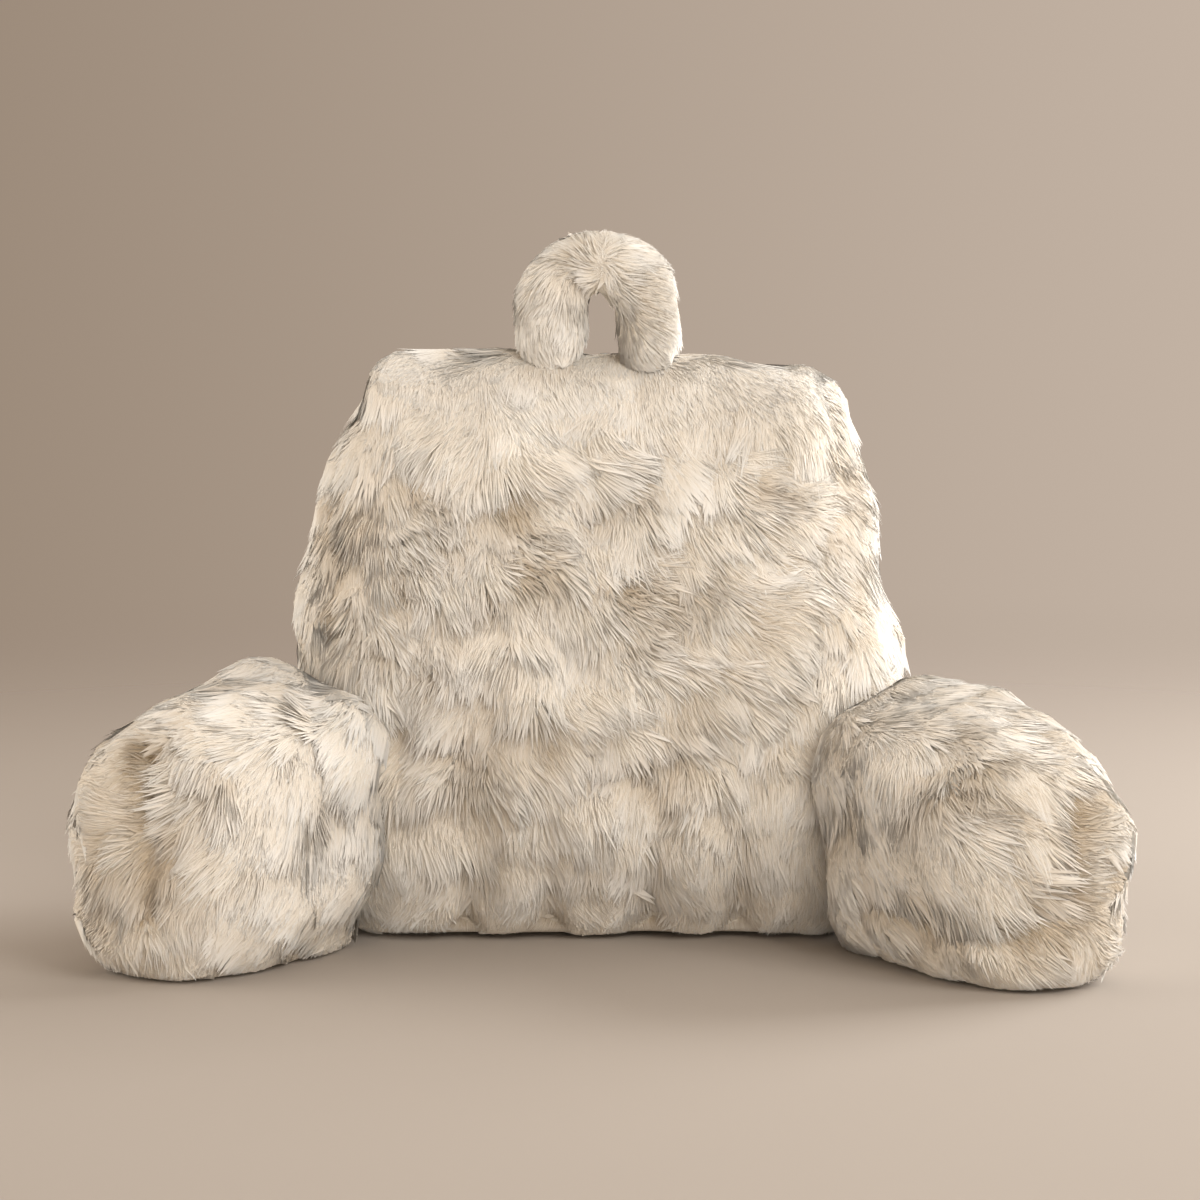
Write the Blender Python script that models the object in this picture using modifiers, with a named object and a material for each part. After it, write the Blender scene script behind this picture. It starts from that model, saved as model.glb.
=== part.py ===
"""A reading pillow with arms, covered in long cream faux fur.

A filled backrest stands on its flat base, two filled arms are sewn to its lower corners and
splay forward, and a stuffed loop handle is sewn to its top edge. Metres, +Z up. The sitter's
side faces -Y, and the origin is at the bottom centre of the whole pillow's box.
"""

import math
from collections import namedtuple

import bmesh
import bpy
import numpy as np
from mathutils import Vector
from mathutils.bvhtree import BVHTree

COLLECTION = "reading_pillow"
CUTTERS = "reading_pillow_cutters"
SEAM_GAP = 0.0003
FLOOR = 0.0
FLOOR_SNAP = 0.0005
FUR_COLOUR = (0.78, 0.72, 0.61, 1.0)
FUR_ROUGHNESS = 0.95

# The backrest: a tall box cushion. Its sections give the sides and the two faces at each height,
# before the edges are rounded.
BACKREST_MIDDLE = 0.195
BACKREST_HALF_HEIGHT = 0.242
BACKREST_CELLS = (15, 6, 14)
OUTLINE_POWER = 6.0
CROWN_POWER = 2.9
Section = namedtuple("Section", "height left right front back")
BACKREST_SECTIONS = (
    Section(0.00, -0.236, 0.236, 0.004, 0.196),
    Section(0.10, -0.240, 0.240, -0.006, 0.206),
    Section(0.20, -0.232, 0.233, -0.006, 0.208),
    Section(0.25, -0.226, 0.216, 0.000, 0.205),
    Section(0.30, -0.220, 0.205, 0.008, 0.201),
    Section(0.34, -0.209, 0.200, 0.016, 0.196),
    Section(0.38, -0.196, 0.198, 0.024, 0.190),
    Section(0.44, -0.190, 0.194, 0.034, 0.182),
)

# An arm: a bolster from inside the backrest's corner to its nose, turned outward by its splay.
ARM_UNDER = 0.040  # how far the rounded form is cut off by the floor
ARM_TUCK = 0.10  # share of its width that an arm loses from mid height to the floor
ARM_CELLS = (6, 10, 7)
ARM_SECTION_POWER = 3.0
ARM_NOSE_POWER = 3.0
# The nose seam is where the outer panel meets the front one, measured outward from the arm's
# middle, and the hem seam runs along the inner face at its own height.
Arm = namedtuple("Arm", "name side x y long wide height splay droop nose_seam hem_seam hem_deep")
ARMS = (
    Arm("arm_left", -1, -0.259, -0.014, 0.142, 0.086, 0.215, 33.0, 0.004, -0.024, 0.030, 0.004),
    Arm("arm_right", 1, 0.254, -0.035, 0.157, 0.084, 0.206, 29.0, 0.016, -0.006, 0.048, 0.012),
)

# The loop handle: an upright arch of stuffed fur tube, its two legs on the top edge.
Loop = namedtuple("Loop", "turn reach thick")
LOOP_STATIONS = (
    Loop(-172, 0.036, 0.0245),
    Loop(-90, 0.037, 0.0275),
    Loop(-45, 0.039, 0.0245),
    Loop(0, 0.037, 0.0215),
    Loop(45, 0.039, 0.0250),
    Loop(90, 0.037, 0.0275),
    Loop(172, 0.036, 0.0245),
)
LOOP_CENTRE = Vector((-0.0015, 0.098, 0.4585))
LOOP_RINGS = 20
LOOP_BEVEL = 5  # segments in a quarter of the tube's section

# Puffs and hollows, each a soft round swelling. On the backrest x and z lie in its front face,
# and on an arm x runs along it from its middle to its nose.
Lump = namedtuple("Lump", "x z wide tall raised")
BACKREST_LUMPS = (
    Lump(-0.148, 0.392, 0.042, 0.036, 0.013),
    Lump(0.152, 0.385, 0.050, 0.040, 0.010),
    Lump(-0.125, 0.325, 0.018, 0.040, -0.010),
    Lump(-0.086, 0.365, 0.036, 0.045, 0.010),
    Lump(-0.058, 0.352, 0.030, 0.016, 0.010),
    Lump(-0.066, 0.322, 0.020, 0.014, -0.014),
    Lump(-0.064, 0.277, 0.036, 0.030, 0.013),
    Lump(0.012, 0.345, 0.034, 0.014, 0.010),
    Lump(0.018, 0.322, 0.030, 0.014, -0.011),
    Lump(0.095, 0.340, 0.026, 0.018, -0.011),
    Lump(0.068, 0.290, 0.040, 0.030, 0.010),
    Lump(0.150, 0.310, 0.018, 0.024, -0.011),
    Lump(0.030, 0.245, 0.036, 0.026, -0.008),
    Lump(0.100, 0.235, 0.040, 0.028, 0.010),
    Lump(-0.130, 0.255, 0.040, 0.026, 0.008),
    Lump(-0.098, 0.182, 0.024, 0.026, 0.011),
    Lump(-0.085, 0.150, 0.034, 0.014, -0.010),
    Lump(-0.020, 0.175, 0.034, 0.024, 0.008),
    Lump(0.052, 0.150, 0.050, 0.020, -0.008),
    Lump(0.070, 0.195, 0.040, 0.028, 0.010),
    Lump(-0.070, 0.090, 0.034, 0.034, 0.013),
    Lump(0.000, 0.095, 0.030, 0.036, 0.011),
    Lump(0.068, 0.090, 0.030, 0.036, 0.013),
)
ARM_LUMPS = (
    Lump(-0.030, 0.165, 0.036, 0.030, 0.011),
    Lump(0.035, 0.150, 0.034, 0.034, 0.013),
    Lump(0.000, 0.105, 0.024, 0.018, -0.010),
    Lump(0.070, 0.085, 0.030, 0.030, 0.011),
    Lump(-0.040, 0.060, 0.034, 0.034, 0.011),
    Lump(0.030, 0.045, 0.026, 0.022, 0.010),
)
TopLump = namedtuple("TopLump", "x wide raised")
TOP_LUMPS = (
    TopLump(-0.165, 0.025, 0.010),
    TopLump(-0.130, 0.012, -0.004),
    TopLump(-0.070, 0.040, 0.005),
    TopLump(0.055, 0.045, 0.004),
    TopLump(0.118, 0.018, -0.014),
    TopLump(0.150, 0.020, 0.004),
)

# Sewn channels gather the front from the hem upward, one row for each.
Channel = namedtuple("Channel", "x low high deep wide")
CHANNELS = (
    Channel(-0.099, 0.00, 0.20, 0.014, 0.011),
    Channel(-0.036, 0.00, 0.18, 0.013, 0.011),
    Channel(-0.024, 0.19, 0.38, 0.014, 0.015),
    Channel(0.035, 0.00, 0.17, 0.014, 0.011),
    Channel(0.060, 0.22, 0.36, 0.008, 0.014),
    Channel(0.101, 0.00, 0.24, 0.014, 0.011),
)
CHANNEL_FADE = 0.035
CHANNEL_START = 0.001
SEAM_PATH = ((0.0, 0.44), (0.056, 0.078))  # the side seam's y at the floor and at the top
SIDE_SEAM_DEEP = 0.010
SIDE_SEAM_WIDE = 0.011
SIDE_LOBE = 0.005
SIDE_LOBE_LONG = 0.0155
SIDE_LOBE_SHIFT = 1.2  # sets the two sides' lobes at different heights
LOBE_START, LOBE_FULL = 0.04, 0.09
BACK_SEAM_DEEP = 0.010
BACK_SEAM_WIDE = 0.011
NOSE_SEAM_DEEP = 0.018
NOSE_SEAM_START = (0.015, 0.045)  # heights over which the nose seam sinks in, and rises out
NOSE_SEAM_END = (0.120, 0.180)
ARM_SEAM_WIDE = 0.012
ARM_SEAM_TURN = 0.02
# Broad swells of the filling: how high they rise, and their lengths across and up.
SWELL = 0.007
BACK_SWELL_WIDE, BACK_SWELL_TALL, BACK_SWELL_SHIFT = 0.021, 0.026, 0.6
ARM_SWELL_LONG, ARM_SWELL_TALL, ARM_SWELL_SHIFT = 0.020, 0.024, 0.5
HANDLE_SWELL, HANDLE_SWELL_WIDE, HANDLE_SWELL_TALL = 0.0018, 0.0065, 0.0085
TOP_LUMPS_START, TOP_LUMPS_FULL = 0.36, 0.42

# Locks of fur that stand out at the rims.
LOCK_INSET = 0.0022
LOCK_LEAN = 0.88
LOCK_RISE = 0.47
Locks = namedtuple("Locks", "count length spacing")
BACKREST_LOCKS = Locks(124, 0.020, 0.012)
ARM_LOCKS = Locks(74, 0.020, 0.012)
HANDLE_LOCKS = Locks(26, 0.012, 0.011)
LOCK_CLEARANCE = 0.024
LOCK_LOWEST = 0.002  # no tip comes nearer to the floor than this
HEM_HEIGHT = 0.045
HEM_LOWEST = 0.012
RIM_TURN = 0.30  # a face is on the rim where its normal turns less than this to front or back
# How the pile lies on the sides, along the top and round the hem: outward, along y and upward.
Lie = namedtuple("Lie", "out y up")
SIDE_LIE = Lie(0.5, -0.15, -0.75)
TOP_LIE = Lie(0.6, -0.10, 0.25)
HEM_FALL = -0.35


def clear_scene():
    for thing in list(bpy.data.objects):
        bpy.data.objects.remove(thing, do_unlink=True)


def new_collection(name):
    collection = bpy.data.collections.new(name)
    bpy.context.scene.collection.children.link(collection)
    return collection


def fur_material(name):
    material = bpy.data.materials.new(name)
    material.use_nodes = True
    shader = material.node_tree.nodes["Principled BSDF"]
    shader.inputs["Base Color"].default_value = FUR_COLOUR
    shader.inputs["Roughness"].default_value = FUR_ROUGHNESS
    shader.inputs["Metallic"].default_value = 0.0
    material.diffuse_color = FUR_COLOUR
    return material


def points_of(mesh):
    points = np.empty(len(mesh.vertices) * 3)
    mesh.vertices.foreach_get("co", points)
    return points.reshape(-1, 3)


def normals_of(mesh):
    normals = np.empty(len(mesh.vertices) * 3)
    mesh.vertices.foreach_get("normal", normals)
    return normals.reshape(-1, 3)


def place_points(mesh, points):
    mesh.vertices.foreach_set("co", points.ravel())
    mesh.update()


def cube_cage(name, cells):
    """A cube from -1 to 1, cut into this many cells along x, y and z."""
    cage = bmesh.new()
    bmesh.ops.create_cube(cage, size=2.0)
    for axis, count in enumerate(cells):
        uncut = [e for e in cage.edges if abs(e.verts[0].co[axis] - e.verts[1].co[axis]) > 1.0]
        bmesh.ops.subdivide_edges(cage, edges=uncut, cuts=count - 1, use_grid_fill=True)
    mesh = bpy.data.meshes.new(name)
    cage.to_mesh(mesh)
    cage.free()
    return mesh


def evaluated_mesh(thing):
    graph = bpy.context.evaluated_depsgraph_get()
    mesh = bpy.data.meshes.new_from_object(thing.evaluated_get(graph))
    mesh.name = thing.name
    return mesh


def smoothed(cage, collection):
    """The cage with one level of Subdivision Surface applied."""
    rough = bpy.data.objects.new(cage.name, cage)
    collection.objects.link(rough)
    rounding = rough.modifiers.new("round", "SUBSURF")
    rounding.levels = rounding.render_levels = 1
    mesh = evaluated_mesh(rough)
    bpy.data.objects.remove(rough)
    bpy.data.meshes.remove(cage)
    return mesh


def on_pillow(points, outline, crown):
    """Points of a cube drawn in to a super-ellipse in x and z, crowned in y by its own power."""
    x, y, z = np.abs(points).T
    across = (x**outline + z**outline) ** (1 / outline)
    reach = (across**crown + y**crown) ** (1 / crown)
    return points / reach[:, None]


def bell(offset, width):
    return np.exp(-((offset / width) ** 2))


def ramp(values, low, high):
    """0 below low and 1 above high, with a smooth turn between them."""
    t = np.clip((values - low) / (high - low), 0, 1)
    return t * t * (3 - 2 * t)


def swelling(x, z, lumps):
    """The sum of the lumps' soft swellings at points of a face."""
    total = np.zeros(len(x))
    for lump in lumps:
        total += lump.raised * bell(x - lump.x, lump.wide) * bell(z - lump.z, lump.tall)
    return total


def backrest_cage():
    """The box cushion: sides and faces follow its sections, and the top follows its lumps."""
    cage = cube_cage("backrest", BACKREST_CELLS)
    points = on_pillow(points_of(cage), OUTLINE_POWER, CROWN_POWER)
    height = BACKREST_MIDDLE + BACKREST_HALF_HEIGHT * points[:, 2]
    rows = np.array(BACKREST_SECTIONS)
    left, right, front, back = (np.interp(height, rows[:, 0], rows[:, i]) for i in range(1, 5))
    x = left + (right - left) * (points[:, 0] + 1) / 2
    y = front + (back - front) * (points[:, 1] + 1) / 2
    for lump in TOP_LUMPS:
        share = ramp(height, TOP_LUMPS_START, TOP_LUMPS_FULL)
        height += lump.raised * bell(x - lump.x, lump.wide) * share
    place_points(cage, np.stack([x, y, height], axis=1))
    return cage


def backrest_relief(points, normals):
    """Lumps and channels on the front, the side bands' seams, and broad swells behind."""
    x, y, z = points.T
    front = ramp(-normals[:, 1], 0.15, 0.60)
    side = ramp(np.abs(normals[:, 0]), 0.45, 0.85)
    raised = front * swelling(x, z, BACKREST_LUMPS)
    for channel in CHANNELS:
        span = ramp(z, channel.low - CHANNEL_FADE, channel.low + CHANNEL_START)
        span = span * (1 - ramp(z, channel.high - CHANNEL_FADE, channel.high))
        raised -= front * span * channel.deep * bell(x - channel.x, channel.wide)
    raised -= side * SIDE_SEAM_DEEP * bell(y - np.interp(z, *SEAM_PATH), SIDE_SEAM_WIDE)
    lobes = np.sin(z / SIDE_LOBE_LONG + SIDE_LOBE_SHIFT * np.sign(x))
    raised += side * SIDE_LOBE * lobes * ramp(y, LOBE_START, LOBE_FULL)
    behind = ramp(normals[:, 1], 0.3, 0.8)
    swells = np.sin(x / BACK_SWELL_WIDE) * np.cos(z / BACK_SWELL_TALL + BACK_SWELL_SHIFT)
    raised += behind * (SWELL * swells - BACK_SEAM_DEEP * bell(x, BACK_SEAM_WIDE))
    return raised


def arm_cage(arm):
    """A bolster along y in its own frame: rounded in section, with a rounded nose at -y."""
    cage = cube_cage(arm.name, ARM_CELLS)
    points = on_pillow(points_of(cage), ARM_SECTION_POWER, ARM_NOSE_POWER)
    x, y, z = points.T
    half_height = (arm.height + ARM_UNDER) / 2
    height = arm.height + half_height * (z - 1)
    height -= arm.droop * ramp(-y, -0.2, 1.0) * ramp(z, 0, 1)
    across = arm.wide * x * (1 - ARM_TUCK * (1 - ramp(height, 0.0, arm.height / 2)))
    place_points(cage, np.stack([across, arm.long * y, height], axis=1))
    return cage


def arm_relief(arm, points, normals):
    """Lumps on the inner face and the top, and the seam of the outer panel."""
    x, y, z = points.T
    outward = x * arm.side
    inner = ramp(-normals[:, 0] * arm.side + 0.6 * normals[:, 2] - 0.4 * normals[:, 1], 0.2, 0.7)
    raised = inner * swelling(-y, z, ARM_LUMPS)
    span = ramp(z, *NOSE_SEAM_START) * (1 - ramp(z, *NOSE_SEAM_END))
    nose = ramp(-normals[:, 1], 0.3, 0.7) * span
    raised -= NOSE_SEAM_DEEP * bell(outward - arm.nose_seam, ARM_SEAM_WIDE) * nose
    inner_side = ramp(arm.nose_seam - outward, 0.0, ARM_SEAM_TURN)
    raised -= arm.hem_deep * bell(z - arm.hem_seam, ARM_SEAM_WIDE) * inner_side
    outer = ramp(normals[:, 0] * arm.side, 0.3, 0.8)
    swells = np.sin(y / ARM_SWELL_LONG + ARM_SWELL_SHIFT) * np.sin(z / ARM_SWELL_TALL)
    raised += outer * SWELL * swells
    return raised


def turned(points, arm):
    """Arm points turned outward by the splay and moved to the arm's middle."""
    angle = math.radians(arm.splay) * arm.side
    x, y, z = points.T
    across = arm.x + x * math.cos(angle) - y * math.sin(angle)
    along = arm.y + x * math.sin(angle) + y * math.cos(angle)
    return np.stack([across, along, z], axis=1)


def stand_on_floor(mesh):
    """Cuts the form off level with the floor and closes it with one flat face."""
    shell = bmesh.new()
    shell.from_mesh(mesh)
    whole = shell.verts[:] + shell.edges[:] + shell.faces[:]
    cut = bmesh.ops.bisect_plane(
        shell,
        geom=whole,
        dist=FLOOR_SNAP,
        plane_co=(0, 0, FLOOR),
        plane_no=(0, 0, -1),
        clear_outer=True,
    )
    for vert in (item for item in cut["geom_cut"] if isinstance(item, bmesh.types.BMVert)):
        vert.co.z = FLOOR
    rim = [item for item in cut["geom_cut"] if isinstance(item, bmesh.types.BMEdge)]
    bmesh.ops.edgeloop_fill(shell, edges=rim)
    bmesh.ops.recalc_face_normals(shell, faces=shell.faces)
    shell.to_mesh(mesh)
    shell.free()


def backrest_mesh(collection):
    mesh = smoothed(backrest_cage(), collection)
    points, normals = points_of(mesh), normals_of(mesh)
    place_points(mesh, points + normals * backrest_relief(points, normals)[:, None])
    stand_on_floor(mesh)
    return mesh


def arm_mesh(arm, collection):
    mesh = smoothed(arm_cage(arm), collection)
    points, normals = points_of(mesh), normals_of(mesh)
    points = points + normals * arm_relief(arm, points, normals)[:, None]
    place_points(mesh, turned(points, arm))
    stand_on_floor(mesh)
    return mesh


def handle_mesh(collection):
    """A bevelled curve round the arch, with its caps welded on."""
    rows = np.array(LOOP_STATIONS)
    turns = np.linspace(rows[0, 0], rows[-1, 0], LOOP_RINGS)
    reach = np.interp(turns, rows[:, 0], rows[:, 1])
    thick = np.interp(turns, rows[:, 0], rows[:, 2])
    curve = bpy.data.curves.new("handle", "CURVE")
    curve.dimensions = "3D"
    curve.bevel_depth = 1.0
    curve.bevel_resolution = LOOP_BEVEL
    curve.use_fill_caps = True
    spline = curve.splines.new("POLY")
    spline.points.add(LOOP_RINGS - 1)
    for point, turn, out, radius in zip(spline.points, np.radians(turns), reach, thick):
        if abs(turn) <= math.pi / 2:
            place = Vector((out * math.sin(turn), 0, out * math.cos(turn)))
        else:
            leg = out * (abs(turn) - math.pi / 2)
            place = Vector((math.copysign(out, turn), 0, -leg))
        point.co = (*(LOOP_CENTRE + place), 1)
        point.radius = radius
    tube = bpy.data.objects.new("handle", curve)
    collection.objects.link(tube)
    mesh = evaluated_mesh(tube)
    bpy.data.objects.remove(tube)
    shell = bmesh.new()
    shell.from_mesh(mesh)
    bmesh.ops.remove_doubles(shell, verts=shell.verts, dist=1e-5)
    bmesh.ops.recalc_face_normals(shell, faces=shell.faces)
    shell.to_mesh(mesh)
    shell.free()
    points, normals = points_of(mesh), normals_of(mesh)
    swell = np.sin(points[:, 0] / HANDLE_SWELL_WIDE) * np.cos(points[:, 2] / HANDLE_SWELL_TALL)
    swell *= HANDLE_SWELL
    place_points(mesh, points + normals * swell[:, None])
    return mesh


def surface_of(mesh):
    shell = bmesh.new()
    shell.from_mesh(mesh)
    tree = BVHTree.FromBMesh(shell)
    shell.free()
    return tree


def well_clear(point, neighbours):
    """True where a point is outside each neighbour and well away from its surface."""
    for tree in neighbours:
        near, normal, _, distance = tree.find_nearest(point)
        if distance < LOCK_CLEARANCE or (point - near).dot(normal) < 0:
            return False
    return True


def comb(place, normal):
    """The way the pile lies: outward and down the sides, and up and outward along the top."""
    row = TOP_LIE if normal.z > 0.5 else SIDE_LIE
    lie = Vector((math.copysign(row.out, place.x), row.y, row.up))
    if place.z < HEM_HEIGHT:
        lie = Vector((normal.x, normal.y, HEM_FALL))
    lie -= normal * lie.dot(normal)
    return lie.normalized() * LOCK_LEAN + normal * LOCK_RISE


def is_rim(face):
    """Rims are the edges of the outline, and the hem just above the floor."""
    middle, normal = face.calc_center_median(), face.normal
    if middle.z < HEM_HEIGHT:
        return middle.z > HEM_LOWEST and normal.z > -0.75
    outside_loop = (middle - LOOP_CENTRE).dot(normal) > 0
    return abs(normal.y) < RIM_TURN and outside_loop


def add_locks(mesh, locks, neighbours, seed):
    """Draws single faces out into leaning four-sided locks, no two closer than the spacing."""
    shell = bmesh.new()
    shell.from_mesh(mesh)
    shell.normal_update()
    rim = [face for face in shell.faces if len(face.verts) == 4 and is_rim(face)]
    rim = [face for face in rim if well_clear(face.calc_center_median(), neighbours)]
    order = np.random.default_rng(seed).permutation(len(rim))
    chosen, middles = [], []
    for face in (rim[i] for i in order):
        middle = face.calc_center_median()
        if len(chosen) < locks.count and all((middle - m).length > locks.spacing for m in middles):
            chosen.append(face)
            middles.append(middle)
    bmesh.ops.inset_individual(shell, faces=chosen, thickness=LOCK_INSET)
    normals = [face.normal.copy() for face in chosen]
    centres = [face.calc_center_median() for face in chosen]
    tips = bmesh.ops.poke(shell, faces=chosen)["verts"]
    for tip in tips:
        nearest = min(range(len(centres)), key=lambda i: (centres[i] - tip.co).length)
        tip.co += comb(centres[nearest], normals[nearest]) * locks.length
        tip.co.z = max(tip.co.z, LOCK_LOWEST)
    shell.to_mesh(mesh)
    shell.free()


def split_faces(mesh):
    """Splits every face the same way, so that a cutter made from a mesh matches it exactly."""
    shell = bmesh.new()
    shell.from_mesh(mesh)
    bmesh.ops.triangulate(shell, faces=shell.faces, quad_method="FIXED", ngon_method="EAR_CLIP")
    shell.to_mesh(mesh)
    shell.free()


def grown(mesh, distance):
    """A copy of a closed mesh, pushed out along its normals."""
    copy = mesh.copy()
    place_points(copy, points_of(copy) + normals_of(copy) * distance)
    split_faces(copy)
    return copy


def add_piece(name, mesh, collection, parent):
    split_faces(mesh)
    mesh.shade_smooth()
    mesh.materials.clear()
    mesh.materials.append(fur_material(name + "_fur"))
    piece = bpy.data.objects.new(name, mesh)
    piece.parent = parent
    collection.objects.link(piece)
    return piece


def seat_on(piece, seat):
    """Cuts a piece back to the cushion that it is sewn to."""
    cut = piece.modifiers.new("seat", "BOOLEAN")
    cut.operation = "DIFFERENCE"
    cut.solver = "EXACT"
    cut.object = seat


def centre_on_base(parts, parent):
    """Moves the whole pillow so that the origin is at the bottom centre of its box."""
    meshes = [evaluated_mesh(part) for part in parts]
    points = np.concatenate([points_of(mesh) for mesh in meshes])
    low, high = points.min(axis=0), points.max(axis=0)
    parent.location = (-(low[0] + high[0]) / 2, -(low[1] + high[1]) / 2, -low[2])
    for mesh in meshes:
        bpy.data.meshes.remove(mesh)


def build():
    clear_scene()
    collection = new_collection(COLLECTION)
    cutters = new_collection(CUTTERS)
    cutters.hide_render = True
    pillow = bpy.data.objects.new("pillow", None)
    collection.objects.link(pillow)

    back = backrest_mesh(collection)
    arms = {arm.name: arm_mesh(arm, collection) for arm in ARMS}
    loop = handle_mesh(collection)
    surfaces = {name: surface_of(mesh) for name, mesh in {"back": back, "loop": loop, **arms}.items()}

    seat = bpy.data.objects.new("backrest_seat", grown(back, SEAM_GAP))
    seat.parent = pillow
    seat.hide_render = True
    seat.display_type = "WIRE"
    cutters.objects.link(seat)

    others = [surfaces[name] for name in surfaces if name != "back"]
    add_locks(back, BACKREST_LOCKS, others, seed=11)
    for index, arm in enumerate(ARMS):
        add_locks(arms[arm.name], ARM_LOCKS, [surfaces["back"]], seed=21 + index)
    add_locks(loop, HANDLE_LOCKS, [surfaces["back"]], seed=31)

    parts = [add_piece("backrest", back, collection, pillow)]
    for name, mesh in {**arms, "handle": loop}.items():
        parts.append(add_piece(name, mesh, collection, pillow))
        seat_on(parts[-1], seat)
    centre_on_base(parts, pillow)


build()
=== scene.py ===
"""A reading pillow with arms, in long cream faux fur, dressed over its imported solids.

Each cushion is a padded form under its own coat. The coats are many thin closed strands that lie
along a combed field and gather into wisps. Metres, +Z up, and the sitter's side faces -Y.
"""

import math
from collections import namedtuple

import bmesh
import bpy
import numpy as np
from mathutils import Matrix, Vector


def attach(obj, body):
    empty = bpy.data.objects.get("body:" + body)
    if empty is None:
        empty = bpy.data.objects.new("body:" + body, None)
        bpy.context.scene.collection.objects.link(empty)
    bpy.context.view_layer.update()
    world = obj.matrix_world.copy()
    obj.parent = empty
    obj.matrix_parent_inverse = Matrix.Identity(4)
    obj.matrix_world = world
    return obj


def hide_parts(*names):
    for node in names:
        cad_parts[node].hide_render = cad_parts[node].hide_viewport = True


bl_info = {
    "name": "Reading pillow in faux fur",
    "version": (1, 0, 0),
    "blender": (4, 5, 0),
    "location": "View3D > Sidebar > Pillow",
    "description": "Pads and furs a reading pillow with arms over its solids",
    "category": "Object",
}

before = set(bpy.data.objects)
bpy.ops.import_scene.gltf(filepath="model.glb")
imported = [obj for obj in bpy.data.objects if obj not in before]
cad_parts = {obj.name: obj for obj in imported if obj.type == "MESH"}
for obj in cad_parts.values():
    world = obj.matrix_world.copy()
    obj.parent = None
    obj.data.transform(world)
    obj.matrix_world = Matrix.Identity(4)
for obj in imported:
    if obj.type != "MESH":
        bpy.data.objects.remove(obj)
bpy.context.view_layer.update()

# The camera of the photograph, as fitted to the outline.
CAMERA_TARGET = Vector((0.0, -0.0135, 0.255))
CAMERA_DISTANCE = 3.0
CAMERA_RISE = math.radians(6.5)
CAMERA_LENS = 125.9
CAMERA_SENSOR = 36.0

FLOOR_CLEAR = 0.0012  # the lowest that a strand's middle line comes
FLOOR_SKIN = 0.0004  # the lowest that any point of the cushions comes
FRONT_VIEW = (0.05, 0.35)  # how far a face turns to the camera where the front tables begin
SEAT_REACH = 0.003  # padding this near to a neighbour's is in their seam and has no fur
LEG_REACH = 0.003  # the same where the handle's legs stand in the backrest's fur


def rows(kind, *values):
    """A table: one of this kind from each tuple of values."""
    return tuple(kind(*each) for each in values)


# A cushion's padding: voxel is the remesh size, smooth how many times it is evened, inset how far
# the cloth lies under the fur's surface, cap how far the filling may push it out, and fill how
# tight it is.
Padding = namedtuple("Padding", "node voxel smooth inset cap fill")
PADDINGS = {
    each.node: each
    for each in rows(
        Padding,
        ("backrest", 0.0125, 10, 0.0080, 0.004, 0.7),
        ("arm_left", 0.0115, 16, 0.0085, 0.003, 0.75),
        ("arm_right", 0.0115, 20, 0.0080, 0.003, 0.75),
        ("handle", 0.0055, 10, 0.0050, 0.002, 0.8),
    )
}
CLOTH_FRAMES = 20

# A coat: its strands in all, how dense they are behind beside the front, and its random seed.
Coat = namedtuple("Coat", "node strands back seed")
COATS = {
    each.node: each
    for each in rows(
        Coat,
        ("backrest", 134000, 0.50, 5),
        ("arm_left", 41000, 0.55, 6),
        ("arm_right", 41000, 0.55, 7),
        ("handle", 11000, 0.80, 8),
    )
}

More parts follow.
